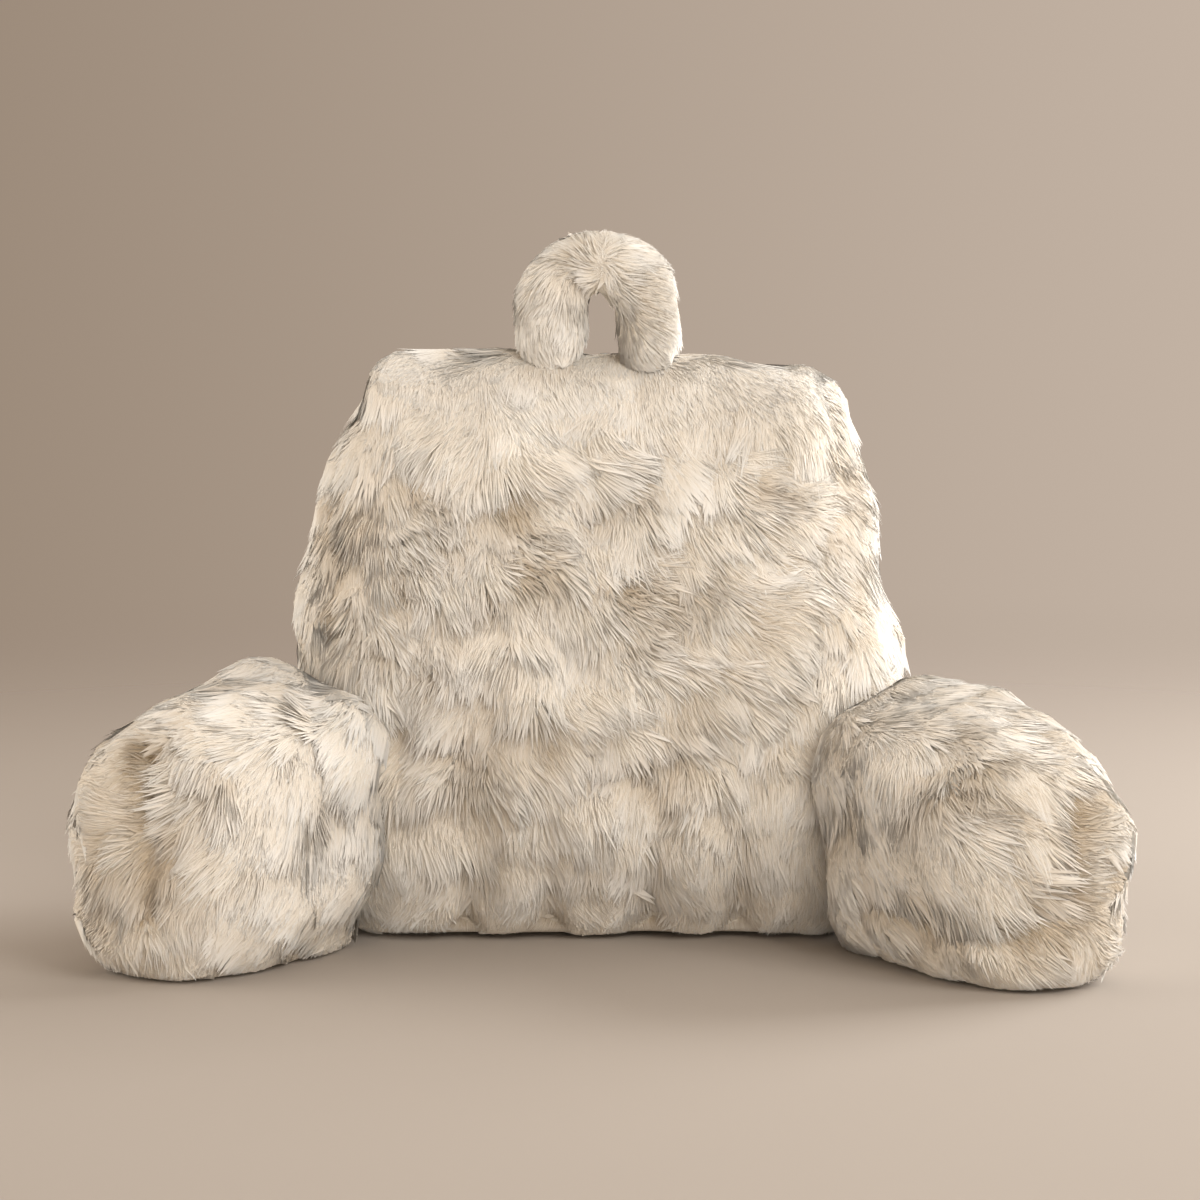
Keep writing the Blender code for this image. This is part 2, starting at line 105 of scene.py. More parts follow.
# How the pile is combed, as seen from the front: places across and up from the middle of the
# view, and the way it lies there, in degrees from the right, anticlockwise.
Guide = namedtuple("Guide", "across up turn reach")
GUIDES = rows(
    Guide,
    # the smooth top band, brushed downward
    (-0.160, 0.150, -130, 0.030),
    (-0.120, 0.145, -105, 0.030),
    (-0.060, 0.150, -98, 0.035),
    (0.010, 0.150, -92, 0.035),
    (0.080, 0.150, -88, 0.035),
    (0.140, 0.145, -70, 0.030),
    (0.170, 0.140, -45, 0.025),
    # the upper puffs
    (-0.150, 0.075, -50, 0.025),
    (-0.090, 0.095, -90, 0.025),
    (-0.086, 0.060, -75, 0.020),
    (-0.055, 0.050, -10, 0.020),
    (-0.050, 0.100, 30, 0.020),
    (-0.038, 0.075, -90, 0.015),
    (0.010, 0.095, -25, 0.020),
    (0.045, 0.100, 10, 0.020),
    (0.100, 0.085, -15, 0.025),
    (0.145, 0.060, -30, 0.025),
    (0.105, 0.015, -8, 0.035),
    (0.015, 0.008, -20, 0.025),
    (-0.024, -0.022, -90, 0.018),
    # the middle and the lower puffs
    (-0.150, 0.000, -70, 0.030),
    (-0.098, -0.078, -90, 0.020),
    (-0.093, -0.132, -90, 0.025),
    (-0.054, -0.147, -85, 0.025),
    (0.035, -0.072, -48, 0.030),
    (0.103, -0.057, -15, 0.025),
    (0.135, -0.086, -65, 0.022),
    (0.090, -0.165, -88, 0.030),
    # the hem
    (-0.150, -0.215, -95, 0.035),
    (-0.060, -0.220, -90, 0.035),
    (0.030, -0.220, -88, 0.035),
    (0.110, -0.220, -86, 0.035),
    # the backrest's sides
    (-0.200, 0.057, -140, 0.025),
    (-0.214, 0.000, -135, 0.025),
    (-0.185, 0.130, 170, 0.025),
    (0.193, 0.057, -35, 0.025),
    (0.207, 0.000, -40, 0.025),
    (0.180, 0.130, 5, 0.025),
    (0.170, -0.030, -100, 0.022),
    # the left arm
    (-0.205, -0.070, 60, 0.022),
    (-0.245, -0.075, 150, 0.028),
    (-0.290, -0.060, 165, 0.025),
    (-0.335, -0.085, 150, 0.025),
    (-0.350, -0.150, 180, 0.030),
    (-0.345, -0.215, 245, 0.030),
    (-0.300, -0.150, 190, 0.022),
    (-0.260, -0.140, -110, 0.030),
    (-0.210, -0.130, -100, 0.030),
    (-0.160, -0.150, -95, 0.030),
    (-0.250, -0.215, -105, 0.035),
    (-0.180, -0.215, -100, 0.035),
    (-0.320, -0.255, -105, 0.025),
    # the right arm
    (0.205, -0.060, 40, 0.022),
    (0.257, -0.060, -8, 0.028),
    (0.320, -0.085, -25, 0.025),
    (0.365, -0.120, -45, 0.025),
    (0.200, -0.130, -115, 0.025),
    (0.225, -0.180, -40, 0.028),
    (0.290, -0.180, -35, 0.030),
    (0.360, -0.180, -8, 0.030),
    (0.225, -0.240, -90, 0.025),
    (0.310, -0.260, -35, 0.028),
    (0.365, -0.240, -20, 0.028),
    # the handle
    (-0.050, 0.215, -115, 0.018),
    (-0.052, 0.245, 170, 0.016),
    (-0.010, 0.262, 100, 0.016),
    (0.030, 0.255, 40, 0.016),
    (0.052, 0.220, -25, 0.018),
)
# Where the pile springs out round a point, and where it is short, curled and upright.
Spot = namedtuple("Spot", "across up reach strength")
WHORLS = rows(
    Spot,
    (0.036, 0.104, 0.016, 0.8),
    (0.092, 0.094, 0.018, 0.9),
    (0.138, 0.066, 0.016, 0.7),
    (0.322, -0.205, 0.018, 0.6),
)
# Strands in the crumbs are also painted darker, as painted shade among the curls.
CRUMBS = rows(
    Spot,
    (-0.120, 0.105, 0.014, 1.0),
    (-0.122, 0.075, 0.016, 1.0),
    (-0.134, 0.045, 0.020, 1.0),
    (-0.062, 0.030, 0.026, 1.0),
    (-0.155, 0.010, 0.026, 1.0),
    (-0.148, -0.025, 0.026, 1.0),
    (-0.118, -0.045, 0.020, 0.9),
    (-0.068, -0.020, 0.014, 0.7),
    (0.014, 0.012, 0.018, 0.9),
    (0.024, -0.016, 0.018, 0.8),
    (0.026, 0.078, 0.012, 0.8),
    (0.112, 0.078, 0.014, 0.8),
    (0.154, 0.050, 0.014, 0.8),
    (0.070, 0.020, 0.014, 0.5),
    (-0.300, -0.100, 0.020, 1.0),
    (-0.280, -0.120, 0.014, 1.0),
    (0.247, -0.115, 0.026, 1.0),
    (0.040, -0.118, 0.022, 0.8),
    (-0.010, -0.080, 0.016, 0.6),
    (0.150, -0.110, 0.014, 0.7),
    (-0.090, -0.112, 0.018, 0.7),
)
# Where the pile lies long, smooth and close, with no tufts; its strands are painted lighter there,
# as painted light.
CALMS = rows(
    Spot,
    (-0.110, 0.160, 0.040, 0.9),
    (-0.030, 0.165, 0.050, 1.0),
    (0.060, 0.150, 0.050, 1.0),
    (0.130, 0.150, 0.040, 1.0),
    (-0.037, 0.078, 0.014, 0.9),
    (-0.024, -0.022, 0.016, 0.9),
    (-0.140, -0.215, 0.040, 0.9),
    (-0.060, -0.205, 0.040, 0.9),
    (0.020, -0.205, 0.040, 0.9),
    (0.100, -0.205, 0.040, 0.9),
    (-0.235, -0.150, 0.045, 0.8),
    (-0.195, -0.190, 0.045, 0.8),
    (-0.260, -0.215, 0.035, 0.8),
    (0.225, -0.180, 0.040, 0.9),
    (0.200, 0.030, 0.040, 0.6),
)
# Hollows where the pile parts and the backing shows; their strands are painted darker, as painted
# shade.
HOLLOWS = rows(
    Spot,
    (-0.068, 0.072, 0.013, 1.0),
    (-0.136, 0.088, 0.014, 0.8),
    (-0.325, -0.118, 0.013, 1.0),
    (-0.300, -0.179, 0.015, 0.8),
    (0.040, -0.240, 0.010, 1.2),
    (0.179, -0.100, 0.018, 0.8),
    (0.014, 0.010, 0.016, 0.8),
    (0.129, 0.100, 0.010, 0.6),
    (-0.018, 0.236, 0.010, 0.8),
    (-0.186, -0.005, 0.009, 0.5),
    (-0.107, -0.100, 0.012, 0.7),
    (-0.043, -0.100, 0.014, 0.7),
    (0.029, -0.122, 0.016, 0.9),
    (0.135, -0.096, 0.012, 0.8),
    (-0.145, -0.080, 0.010, 1.2),
)
HOLLOW_DEEP = 0.007
# Where the cushions are slimmer than their solids, in metres of depth.
PRESSES = rows(
    Spot,
    (-0.352, -0.072, 0.040, 0.009),
    (-0.385, -0.225, 0.035, 0.006),
    (0.320, -0.060, 0.035, 0.006),
    (0.385, -0.120, 0.045, 0.008),
    (0.390, -0.200, 0.040, 0.006),
    (0.200, 0.150, 0.035, 0.006),
    (0.205, 0.030, 0.050, 0.004),
)
# Where they are fuller than their solids.
SWELLS = rows(
    Spot,
    (-0.168, -0.085, 0.034, 0.012),
    (0.172, -0.105, 0.045, 0.012),
    (-0.232, -0.048, 0.030, 0.004),
    (-0.160, 0.160, 0.040, 0.009),
    (-0.190, 0.122, 0.034, 0.011),
    (-0.208, 0.030, 0.040, 0.004),
    (-0.378, -0.160, 0.022, 0.008),
    (0.382, -0.162, 0.028, 0.006),
    (0.056, 0.060, 0.018, 0.005),
    (0.055, 0.028, 0.018, 0.006),
    (0.055, -0.005, 0.018, 0.006),
    (0.056, -0.030, 0.016, 0.004),
)
# The hem: where the notches between its skirts are, how far they draw the padding in, and how
# wide they are there and in the fur.
NOTCHES = (-0.266, -0.211, -0.099, -0.036, 0.037, 0.101, 0.193)
NOTCH_DEEP, NOTCH_WIDE, NOTCH_FUR = 0.016, 0.008, 0.0128
HEM_HIGH, HEM_TUCK = 0.040, 0.055  # it turns under below this height, by this share
HEM_LIFT = 0.015  # how far the fur stays off the floor in a notch
HEM_EVEN, HEM_WAVE, HEM_SIZE, HEM_SEED = 0.12, 0.15, 0.020, 7  # its lift between them
ARM_HEM = 0.5  # the arms' lift beside the backrest's
# Seams that draw the fur in and paint shade on its strands, as the front view sees them: where
# they run, how deep and how wide.
Seam = namedtuple("Seam", "deep wide across up")
SEAMS = rows(
    Seam,
    # the left edge of the backrest's front panel
    (0.006, 0.009, (-0.184, -0.186, -0.188), (0.085, 0.060, -0.005)),
    # its right edge
    (0.005, 0.009, (0.168, 0.176, 0.185), (0.110, 0.050, -0.020)),
    # the left arm's nose, and its foot
    (0.010, 0.009, (-0.316, -0.317, -0.322), (-0.112, -0.175, -0.222)),
    # the right arm's panel seam: along its foot and up the outer edge
    (
        0.009,
        0.008,
        (0.192, 0.240, 0.295, 0.332, 0.335, 0.330),
        (-0.210, -0.232, -0.240, -0.218, -0.171, -0.140),
    ),
    # the creases where the arms meet the backrest
    (0.006, 0.007, (-0.146, -0.137), (-0.080, -0.115)),
)

# The sewn channels of the backrest's front, in its own axes.
Channel = namedtuple("Channel", "x low high deep wide")
CHANNELS = rows(
    Channel,
    (-0.099, 0.00, 0.08, 0.008, 0.008),
    (-0.036, 0.00, 0.09, 0.009, 0.008),
    (0.035, 0.00, 0.10, 0.012, 0.008),
    (0.101, 0.00, 0.10, 0.009, 0.009),
)
CHANNEL_FADE = 0.060  # how long a channel takes to fade at its top
CHANNEL_START = 0.001  # how far over its low end it is at its full depth
PUFF_SIZES = ((0.060, 0.0070), (0.028, 0.0050))  # size and rise of the puffs in the padding
RELIEF_FULL = 0.009  # how high a puff is at full light, and how deep a hollow at full shade
PUFF_STRETCH = 0.6  # the puffs are this much denser up than across
TUFT_SIZE, TUFT_RISE = 0.036, 0.0026
PUFF_SEED, TUFT_SEED, COMB_SEED, WANDER_SEED = 100, 300, 320, 330
CRUMB_SEED, LENGTH_SEED, PATCH_SEED, BEND_SEED, WISP_SEED, PULL_SEED = 40, 50, 60, 70, 80, 90
LEG_LOW, LEG_HIGH, LEG_DROP = 0.435, 0.470, 0.016  # the handle's legs reach into the fur
CHANNEL_VIEW = (0.15, 0.60)  # how far a face turns to the sitter where the channels begin
NOTCH_VIEW = (0.2, 0.7)  # the same for the hem's notches
FOOT = (0.004, 0.03)  # the puffs fade out between these heights, so that the foot is flat
REST_HIGH = 0.08  # the drawn-in form is brought back to the floor up to this height
TUFT_TILT = 1.6  # how soon a tuft is at its full rise, from its centre out
CALM_PUFFS, HANDLE_PUFFS = 0.85, 0.45  # how much flatter a calm place is, and the handle
MERGE = 1e-5  # points this near are one point
HANDLE_HALF = 0.0635  # the loop's half breadth, past which its solid's locks are left out
COMB_CELL, COMB_SHIFT = 0.014, 3  # size of the comb map's cells, and how far they are put apart
WANDER, WANDER_SIZE = 0.010, 0.022  # how far the tufts' borders wander, and in what waves
BACKREST_HALF = 0.24  # the backrest's half breadth at its foot
TOP_FLAT, TOP_RAMP = 0.60, (0.30, 0.85)  # strands lie flatter where a face looks this far up
CREST = (0.405, 0.430)  # between these heights the pile turns over the top edge
BASE_PULL, GUIDE_SPREAD = 0.35, 1.3  # the base lie beside a guide's, and a guide's full reach
WHORL_PULL, WHORL_HEART = 1.6, 0.004  # a whorl beside a guide, and the bare middle of one
COMB_SWINGS = ((0.60, 0.036), (0.30, 0.013))  # how far the pile swings, and in what waves
CALM_COMB = 0.65  # how much less it swings in a calm place

# Degrees that a strand stands over the surface, on its way to its bend and on to its tip: the
# middle, and what soft patches, crumbs, calm places and the slope of a tuft add.
Stand = namedtuple("Stand", "middle patch crumb calm slope")
TO_BEND = Stand(20, 5, 34, -10, 6)
TO_TIP = Stand(1, 4, 38, -2, 6)
HANDLE_STAND, FUZZ_STAND = 9, 32  # what the handle's strands and the short fuzz add to both
FUZZ_SHARE, FUZZ_LONG = 0.18, 0.24  # short upright strands, and their length beside the rest's
STRAY, STRAY_CRUMB, STRAY_TUFT = 0.07, 0.60, 0.5  # radians off the comb: all, in crumbs, tufts
LONG_WAVE, LONG_SIZE = 0.16, 0.030  # how the length goes up and down, in soft waves
LONG_VARY, LONG_ENDS = 0.14, (0.6, 1.35)  # how it varies from strand to strand
SHORT_CRUMB, SHORT_HOLLOW = 0.58, 0.35  # how much shorter crumbs and hollows are
PATCH_SIZE = 0.028  # size of the soft patches that stand up more or less
BEND_WAVE, BEND_SIZE, BEND_VARY, BEND_TURN = 0.60, 0.018, 0.10, 1.6  # how strands curve
WISPS = ((0.0044, 0.40), (0.016, 0.20))  # size of the wisps, and how strongly strands gather
PULL_EVEN, PULL_WAVE, PULL_SIZE = 0.75, 0.35, 0.025  # that strength's soft waves
PULL_CALM, PULL_CRUMB, PULL_MOST = 0.85, 0.35, 0.92  # less in calm places, more in crumbs
PULL_POWER = 1.2  # how the gathering grows along a strand
ROOT_DEEP, LEAST_HIGH = 0.0012, 0.0006  # roots under the cloth, and the least height over it
STEADY = 0.002  # how strongly a root's own normal holds its strand up near the cloth
CRUMB_SIZE, CRUMB_RAMP = 0.020, (-0.55, 0.1)  # crumbs come in patches of this size
# Painted shade on the strands: seams, crumbs and hollows darken them, and calm places and the
# raised end of a tuft lighten them as painted light.
SEAM_SHADE = 0.010  # depth of seam that is as dark as a full hollow
SHADE_CRUMB, SHADE_HOLLOW, SHADE_CALM, SHADE_SLOPE = 0.62, 0.50, 0.18, 0.14  # what darkens
SHADE_ENDS = (-0.3, 1)
FOOT_SHORT, FOOT_HIGH = 0.35, 0.03  # the pile is this much shorter at the floor
FLOOR_SPREAD = 0.25  # how far out a strand goes for each metre that the floor lifts it
SIDE_LIGHT = 0.4  # how far the normals at a bend spread to its two sides
# TONE_SHADE is how much the painted shade darkens a strand, and TONE_RELIEF paints light on the
# relief's puffs and shade in its valleys.
TONE, TONE_SPREAD, TONE_SHADE, TONE_RELIEF = 0.87, 0.22, 0.62, 0.26  # a strand's lightness
TONE_CALM = 0.6  # how much evener it is in a calm place
WIDTH_VARY, WIDTH_ENDS = 0.28, (0.45, 1.7)  # how the width varies from strand to strand
ROLL = 0.17  # how far strands roll about their length, in radians
STRAND_BEND = 0.37  # how far along a strand its bend is
STRAND_THICK = 0.0005  # how far at least the bend stands over the line from root to tip

FUR_TIP = (0.880, 0.858, 0.812)
# The roots are painted darker and warmer than the tips, as painted shade deep in the pile.
FUR_SHADED_ROOT = (0.780, 0.710, 0.605)
# The colour that painted shade in hollows, crumbs, seams and valleys mixes a strand towards, and
# randomly darker strands and warm patches too.
FUR_SHADE_AND_DARK = (0.430, 0.320, 0.190)
PATCHES = 22.0  # warm patches to a metre

# The pieces that a coat is parted into, and how far a face turns forward or back to be in one.
REGION_NAMES = {
    "backrest": ("_front_left", "_front_right", "_back", "_border_left", "_border_right")
}
BORDER_TURN = 0.45
BEHIND_TURN = 0.3  # faces that turn back by more have the coat's density behind
UNDER_RAMP = (-0.97, -0.6)  # faces that look down by this much have no fur

# What the lattice mixes its cells' indices and its seed with, and how cells are numbered.
CELL_MIX = np.array([73856093, 19349663, 83492791], np.uint64)
SEED_MIX, FIRST_MIX, LAST_MIX = 2654435761, 2246822519, 3266489917
CELL_REACH = 4096  # more cells than there are on either side of the middle
CELL_STEPS = np.array([(2 * CELL_REACH) ** 2, 2 * CELL_REACH, 1])
SHARED_SEED = 7  # for the number that a tuft shares
TINY = 1e-9  # the least length that anything is divided by


# --- small tools -----------------------------------------------------------------------------


def ramp(values, low, high):
    """0 below low and 1 above high, with a smooth turn between them."""
    t = np.clip((values - low) / (high - low), 0, 1)
    return t * t * (3 - 2 * t)


def bell(offset, width):
    """A soft hump: e to the minus square of the offset in widths."""
    return np.exp(-((offset / width) ** 2))


def unit(vectors):
    """The vectors at length one."""
    return vectors / np.maximum(np.linalg.norm(vectors, axis=-1, keepdims=True), TINY)


def points_of(mesh, field="co"):
    """The vertices' places or normals as rows."""
    values = np.empty(len(mesh.vertices) * 3)
    mesh.vertices.foreach_get(field, values)
    return values.reshape(-1, 3)


def place_points(mesh, points):
    """Moves the vertices to these rows."""
    mesh.vertices.foreach_set("co", points.ravel())
    mesh.update()


def lattice(cells, seed):
    """A number from 0 to 1 for each cell of a lattice, mixed from its three indices."""
    code = cells.astype(np.uint64) * CELL_MIX
    mixed = code[:, 0] ^ code[:, 1] ^ code[:, 2] ^ np.uint64(seed * SEED_MIX)
    mixed = (mixed ^ (mixed >> np.uint64(15))) * np.uint64(FIRST_MIX)
    mixed = (mixed ^ (mixed >> np.uint64(13))) * np.uint64(LAST_MIX)
    return ((mixed >> np.uint64(16)) & np.uint64(0xFFFF)).astype(float) / 0xFFFF


def soft_noise(points, size, seed):
    """From -1 to 1: a lattice of random values, blended smoothly from each cell's corners."""
    place = points / size
    cells = np.floor(place).astype(np.int64)
    part = place - cells
    part = part * part * (3 - 2 * part)
    total = np.zeros(len(points))
    for corner in np.ndindex(2, 2, 2):
        share = np.prod(np.where(corner, part, 1 - part), axis=1)
        total += share * lattice(cells + np.array(corner), seed)
    return 2 * total - 1


def seen_from_front(points):
    """Across and up of each point on the plane through the camera's target, by perspective."""
    back = np.array([0.0, -math.cos(CAMERA_RISE), math.sin(CAMERA_RISE)])
    up = np.array([0.0, math.sin(CAMERA_RISE), math.cos(CAMERA_RISE)])
    offset = points - np.array(CAMERA_TARGET)
    scale = CAMERA_DISTANCE / (CAMERA_DISTANCE - offset @ back)
    return offset[:, 0] * scale, (offset @ up) * scale, back


def seams_at(across, up):
    """How far the seams draw the surface in: each its depth times a hump of the distance to it."""
    total = np.zeros(len(across))
    for seam in SEAMS:
        gap = np.full(len(across), np.inf)
        ends = list(zip(seam.across, seam.up))
        for (a, b), (c, d) in zip(ends[:-1], ends[1:]):
            long = (c - a) ** 2 + (d - b) ** 2
            part = np.clip(((across - a) * (c - a) + (up - b) * (d - b)) / long, 0, 1)
            gap = np.minimum(gap, np.hypot(across - a - part * (c - a), up - b - part * (d - b)))
        total = np.maximum(total, seam.deep * bell(gap, seam.wide))
    return total


def facing_view(normals, back):
    """1 where the front view sees the surface and 0 where it turns away."""
    return ramp(normals @ back, *FRONT_VIEW)


def spots_at(across, up, spots):
    """The strongest of the spots' humps at each place."""
    total = np.zeros(len(across))
    for spot in spots:
        gap = np.hypot(across - spot.across, up - spot.up)
        total = np.maximum(total, spot.strength * bell(gap, spot.reach))
    return total


# --- padding ---------------------------------------------------------------------------------


def link(piece):
    """Puts the object in the scene."""
    bpy.context.scene.collection.objects.link(piece)
    return piece


def applied(piece):
    """The piece with its modifiers worked into its mesh."""
    graph = bpy.context.evaluated_depsgraph_get()
    mesh = bpy.data.meshes.new_from_object(piece.evaluated_get(graph))
    old = piece.data
    piece.modifiers.clear()
    piece.data = mesh
    bpy.data.meshes.remove(old)
    return piece


def merged_copy(node, name):
    """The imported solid's mesh with its loose triangles joined, in an object of its own."""
    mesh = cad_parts[node].data.copy()
    shell = bmesh.new()
    shell.from_mesh(mesh)
    bmesh.ops.remove_doubles(shell, verts=shell.verts, dist=MERGE)
    shell.to_mesh(mesh)
    shell.free()
    mesh.materials.clear()
    return link(bpy.data.objects.new(name, mesh))


def drawn_in(piece, padding):
    """Smooths the form and moves it in along its normals, but not up from the floor."""
    if padding.node == "handle":
        points = points_of(piece.data)
        points[:, 0] = np.clip(points[:, 0], -HANDLE_HALF, HANDLE_HALF)
        place_points(piece.data, points)
    skin = piece.modifiers.new("even skin", "REMESH")
    skin.mode = "VOXEL"
    skin.voxel_size = padding.voxel
    calm = piece.modifiers.new("calm", "SMOOTH")
    calm.factor = 0.5
    calm.iterations = padding.smooth
    applied(piece)
    points, normals = points_of(piece.data), points_of(piece.data, "normal")
    inward = normals * padding.inset
    inward[:, 2] = np.where(normals[:, 2] < 0, 0, inward[:, 2])
    points = points - inward
    points[:, 2] -= points[:, 2].min() * (1 - ramp(points[:, 2], 0.0, REST_HIGH))
    place_points(piece.data, points)


def filled(piece, padding, pressure):
    """Cloth under pressure swells the form, with each point's move capped."""
    rest = points_of(piece.data)
    cloth = piece.modifiers.new("filling", "CLOTH")
    cloth.settings.use_pressure = True
    cloth.settings.uniform_pressure_force = pressure
    cloth.settings.effector_weights.gravity = 0
    cloth.settings.quality = 4
    cloth.point_cache.frame_start = 1
    cloth.point_cache.frame_end = CLOTH_FRAMES
    for number in range(1, CLOTH_FRAMES + 1):
        bpy.context.scene.frame_set(number)
    applied(piece)
    bpy.context.scene.frame_set(1)
    move = points_of(piece.data) - rest
    far = np.linalg.norm(move, axis=1, keepdims=True)
    move *= np.minimum(1, padding.cap / np.maximum(far, TINY))
    place_points(piece.data, rest + move)


def rounded(piece):
    """One level of subdivision, worked into the mesh."""
    finer = piece.modifiers.new("round", "SUBSURF")
    finer.levels = finer.render_levels = 1
    applied(piece)


def channel_relief(points, normals):
    """Gathered channels of the backrest's front: a hump's depth across, faded at both ends."""
    x, _, z = points.T
    front = ramp(-normals[:, 1], *CHANNEL_VIEW)
    raised = np.zeros(len(points))
    for row in CHANNELS:
        span = ramp(z, row.low - CHANNEL_FADE, row.low + CHANNEL_START)
        span = span * (1 - ramp(z, row.high - CHANNEL_FADE, row.high))
        raised -= front * span * row.deep * bell(x - row.x, row.wide)
    return raised


def tuft_slope(offset, lie):
    """From -1 at the end where a tuft's pile begins to 1 at the end that it points to."""
    return np.clip((offset * lie).sum(axis=1) / TUFT_SIZE * TUFT_TILT, -1, 1)


def notches_at(across, wide):
    """The sum of the humps at the hem's notches."""
    return sum(bell(across - place, wide) for place in NOTCHES)


def puffed(piece, node, seed, settings):
    """Raises soft puffs and tufts along the normals, draws in the seams and hollows, then rests
    the form flat on the floor. A tuft rises towards the end that its pile points to."""
    points, normals = points_of(piece.data), points_of(piece.data, "normal")
    across, up, back = seen_from_front(points)
    facing = facing_view(normals, back)
    calm = spots_at(across, up, CALMS) * facing
    raised = np.zeros(len(points))
    upright = points * np.array([1.0, 1.0, PUFF_STRETCH])
    for index, (size, rise) in enumerate(PUFF_SIZES):
        raised += rise * soft_noise(upright, size, seed + index) * (1 - CALM_PUFFS * calm)
    raised *= settings.puffs
    _, offset, _ = tufts_of(wavy(points), TUFT_SIZE, TUFT_SEED)
    raised += TUFT_RISE * tuft_slope(offset, combed(node, points, normals)) * (1 - calm)
    raised -= facing * (seams_at(across, up) + HOLLOW_DEEP * spots_at(across, up, HOLLOWS))
    if node == "backrest":
        raised += channel_relief(points, normals)
    if node == "handle":
        raised *= HANDLE_PUFFS
        points[:, 2] -= LEG_DROP * (1 - ramp(points[:, 2], LEG_LOW, LEG_HIGH))
    else:
        raised += spots_at(across, up, SWELLS) - spots_at(across, up, PRESSES)
        raised *= ramp(points[:, 2], *FOOT)
        low = 1 - ramp(points[:, 2], 0.0, HEM_HIGH)
        hem = low * ramp(-normals[:, 1], *NOTCH_VIEW)
        raised -= hem * NOTCH_DEEP * notches_at(across, NOTCH_WIDE)
        middle = (points[:, :2].min(axis=0) + points[:, :2].max(axis=0)) / 2
        points[:, :2] += (middle - points[:, :2]) * (HEM_TUCK * low)[:, None]
    points = points + normals * raised[:, None]
    points[:, 2] = np.maximum(points[:, 2], FLOOR_SKIN)
    place_points(piece.data, points)
    # The relief is kept to paint light on the puffs and shade in the hollows, in the fur's colour.
    relief_shading = piece.data.attributes.new("relief_shading", "FLOAT", "POINT")
    relief_shading.data.foreach_set("value", np.clip(raised / RELIEF_FULL, -1, 1))


def comb_map(piece, node):
    """A UV map in metres for the padding: in each small cell, u runs across the comb and v along
    it, both from the cell's middle face."""
    mesh = piece.data
    count = len(mesh.polygons)
    centres, ways = np.empty(count * 3), np.empty(count * 3)
    mesh.polygons.foreach_get("center", centres)
    mesh.polygons.foreach_get("normal", ways)
    centres, ways = centres.reshape(-1, 3), ways.reshape(-1, 3)
    lie = combed(node, centres, ways)
    leaders, _, tuft = tufts_of(centres, COMB_CELL, COMB_SEED)
    corners, starts = np.empty(len(mesh.loops), np.int32), np.empty(count, np.int32)
    mesh.loops.foreach_get("vertex_index", corners)
    mesh.polygons.foreach_get("loop_total", starts)
    face = np.repeat(np.arange(count), starts)
    lead = leaders[face]
    off = points_of(mesh)[corners] - centres[lead]
    side = np.cross(ways[lead], lie[lead])
    shift = tuft[face]
    across = (off * side).sum(axis=1) + shift
    along = (off * lie[lead]).sum(axis=1) + COMB_SHIFT * shift
    layer = mesh.uv_layers.new(name="comb")
    layer.data.foreach_set("uv", np.stack([across, along], axis=1).ravel())


def make_cushion(node, material, seed, settings):
    """The padded form of one node: remeshed, drawn in, filled, rounded and puffed."""
    padding = PADDINGS[node]
    piece = merged_copy(node, node + "_padding")
    drawn_in(piece, padding)
    filled(piece, padding, settings.pressure)
    rounded(piece)
    puffed(piece, node, seed, settings)
    comb_map(piece, node)
    piece.data.shade_smooth()
    piece.data.materials.clear()
    piece.data.materials.append(material)
    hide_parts(node)
    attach(piece, "root")
    return piece


# --- fur -------------------------------------------------------------------------------------


def scattered(mesh, count, weigh, draw):
    """Roots on the faces, their normals and their relief shading, which paints light and shade by
    the relief: each face's share is its area by its weight, and places in it are even."""
    mesh.calc_loop_triangles()
    corners = np.empty(len(mesh.loop_triangles) * 3, np.int32)
    mesh.loop_triangles.foreach_get("vertices", corners)
    corners = corners.reshape(-1, 3)
    points, normals = points_of(mesh), points_of(mesh, "normal")
    relief_shading = np.empty(len(mesh.vertices))
    mesh.attributes["relief_shading"].data.foreach_get("value", relief_shading)
    a, b, c = (points[corners[:, i]] for i in range(3))
    area = np.linalg.norm(np.cross(b - a, c - a), axis=1) / 2
    share = area * weigh((a + b + c) / 3, unit(np.cross(b - a, c - a)))
    ladder = np.cumsum(share) / share.sum()
    steps = (np.arange(count) + draw.random(count)) / count
    chosen = corners[np.searchsorted(ladder, steps)]
    u, v = draw.random((2, count))
    over = u + v > 1
    u, v = np.where(over, 1 - u, u), np.where(over, 1 - v, v)
    part = np.stack([1 - u - v, u, v], axis=1)
    roots = (points[chosen] * part[:, :, None]).sum(axis=1)
    ways = unit((normals[chosen] * part[:, :, None]).sum(axis=1))
    return roots, ways, (relief_shading[chosen] * part).sum(axis=1)


def base_lie(node, points, normals):
    """The way the pile falls where nothing combs it: down and outward, and off the crest."""
    x, _, z = points.T
    side = np.sign(x)
    ones = np.ones(len(points))
    if node == "handle":
        return np.stack([side * 0.5, normals[:, 1] * 0.3, -0.6 * ones], axis=1)
    if node == "backrest":
        lie = np.stack([x / BACKREST_HALF * 0.45, normals[:, 1] * 0.15, -ones], axis=1)
        crest = np.stack([x / BACKREST_HALF * 0.8, normals[:, 1] * 0.6, 0.55 * ones], axis=1)
        high = ramp(z, *CREST)[:, None]
        return lie * (1 - high) + crest * high
    return np.stack([side * 0.55, -0.35 * ones, -0.75 * ones], axis=1)


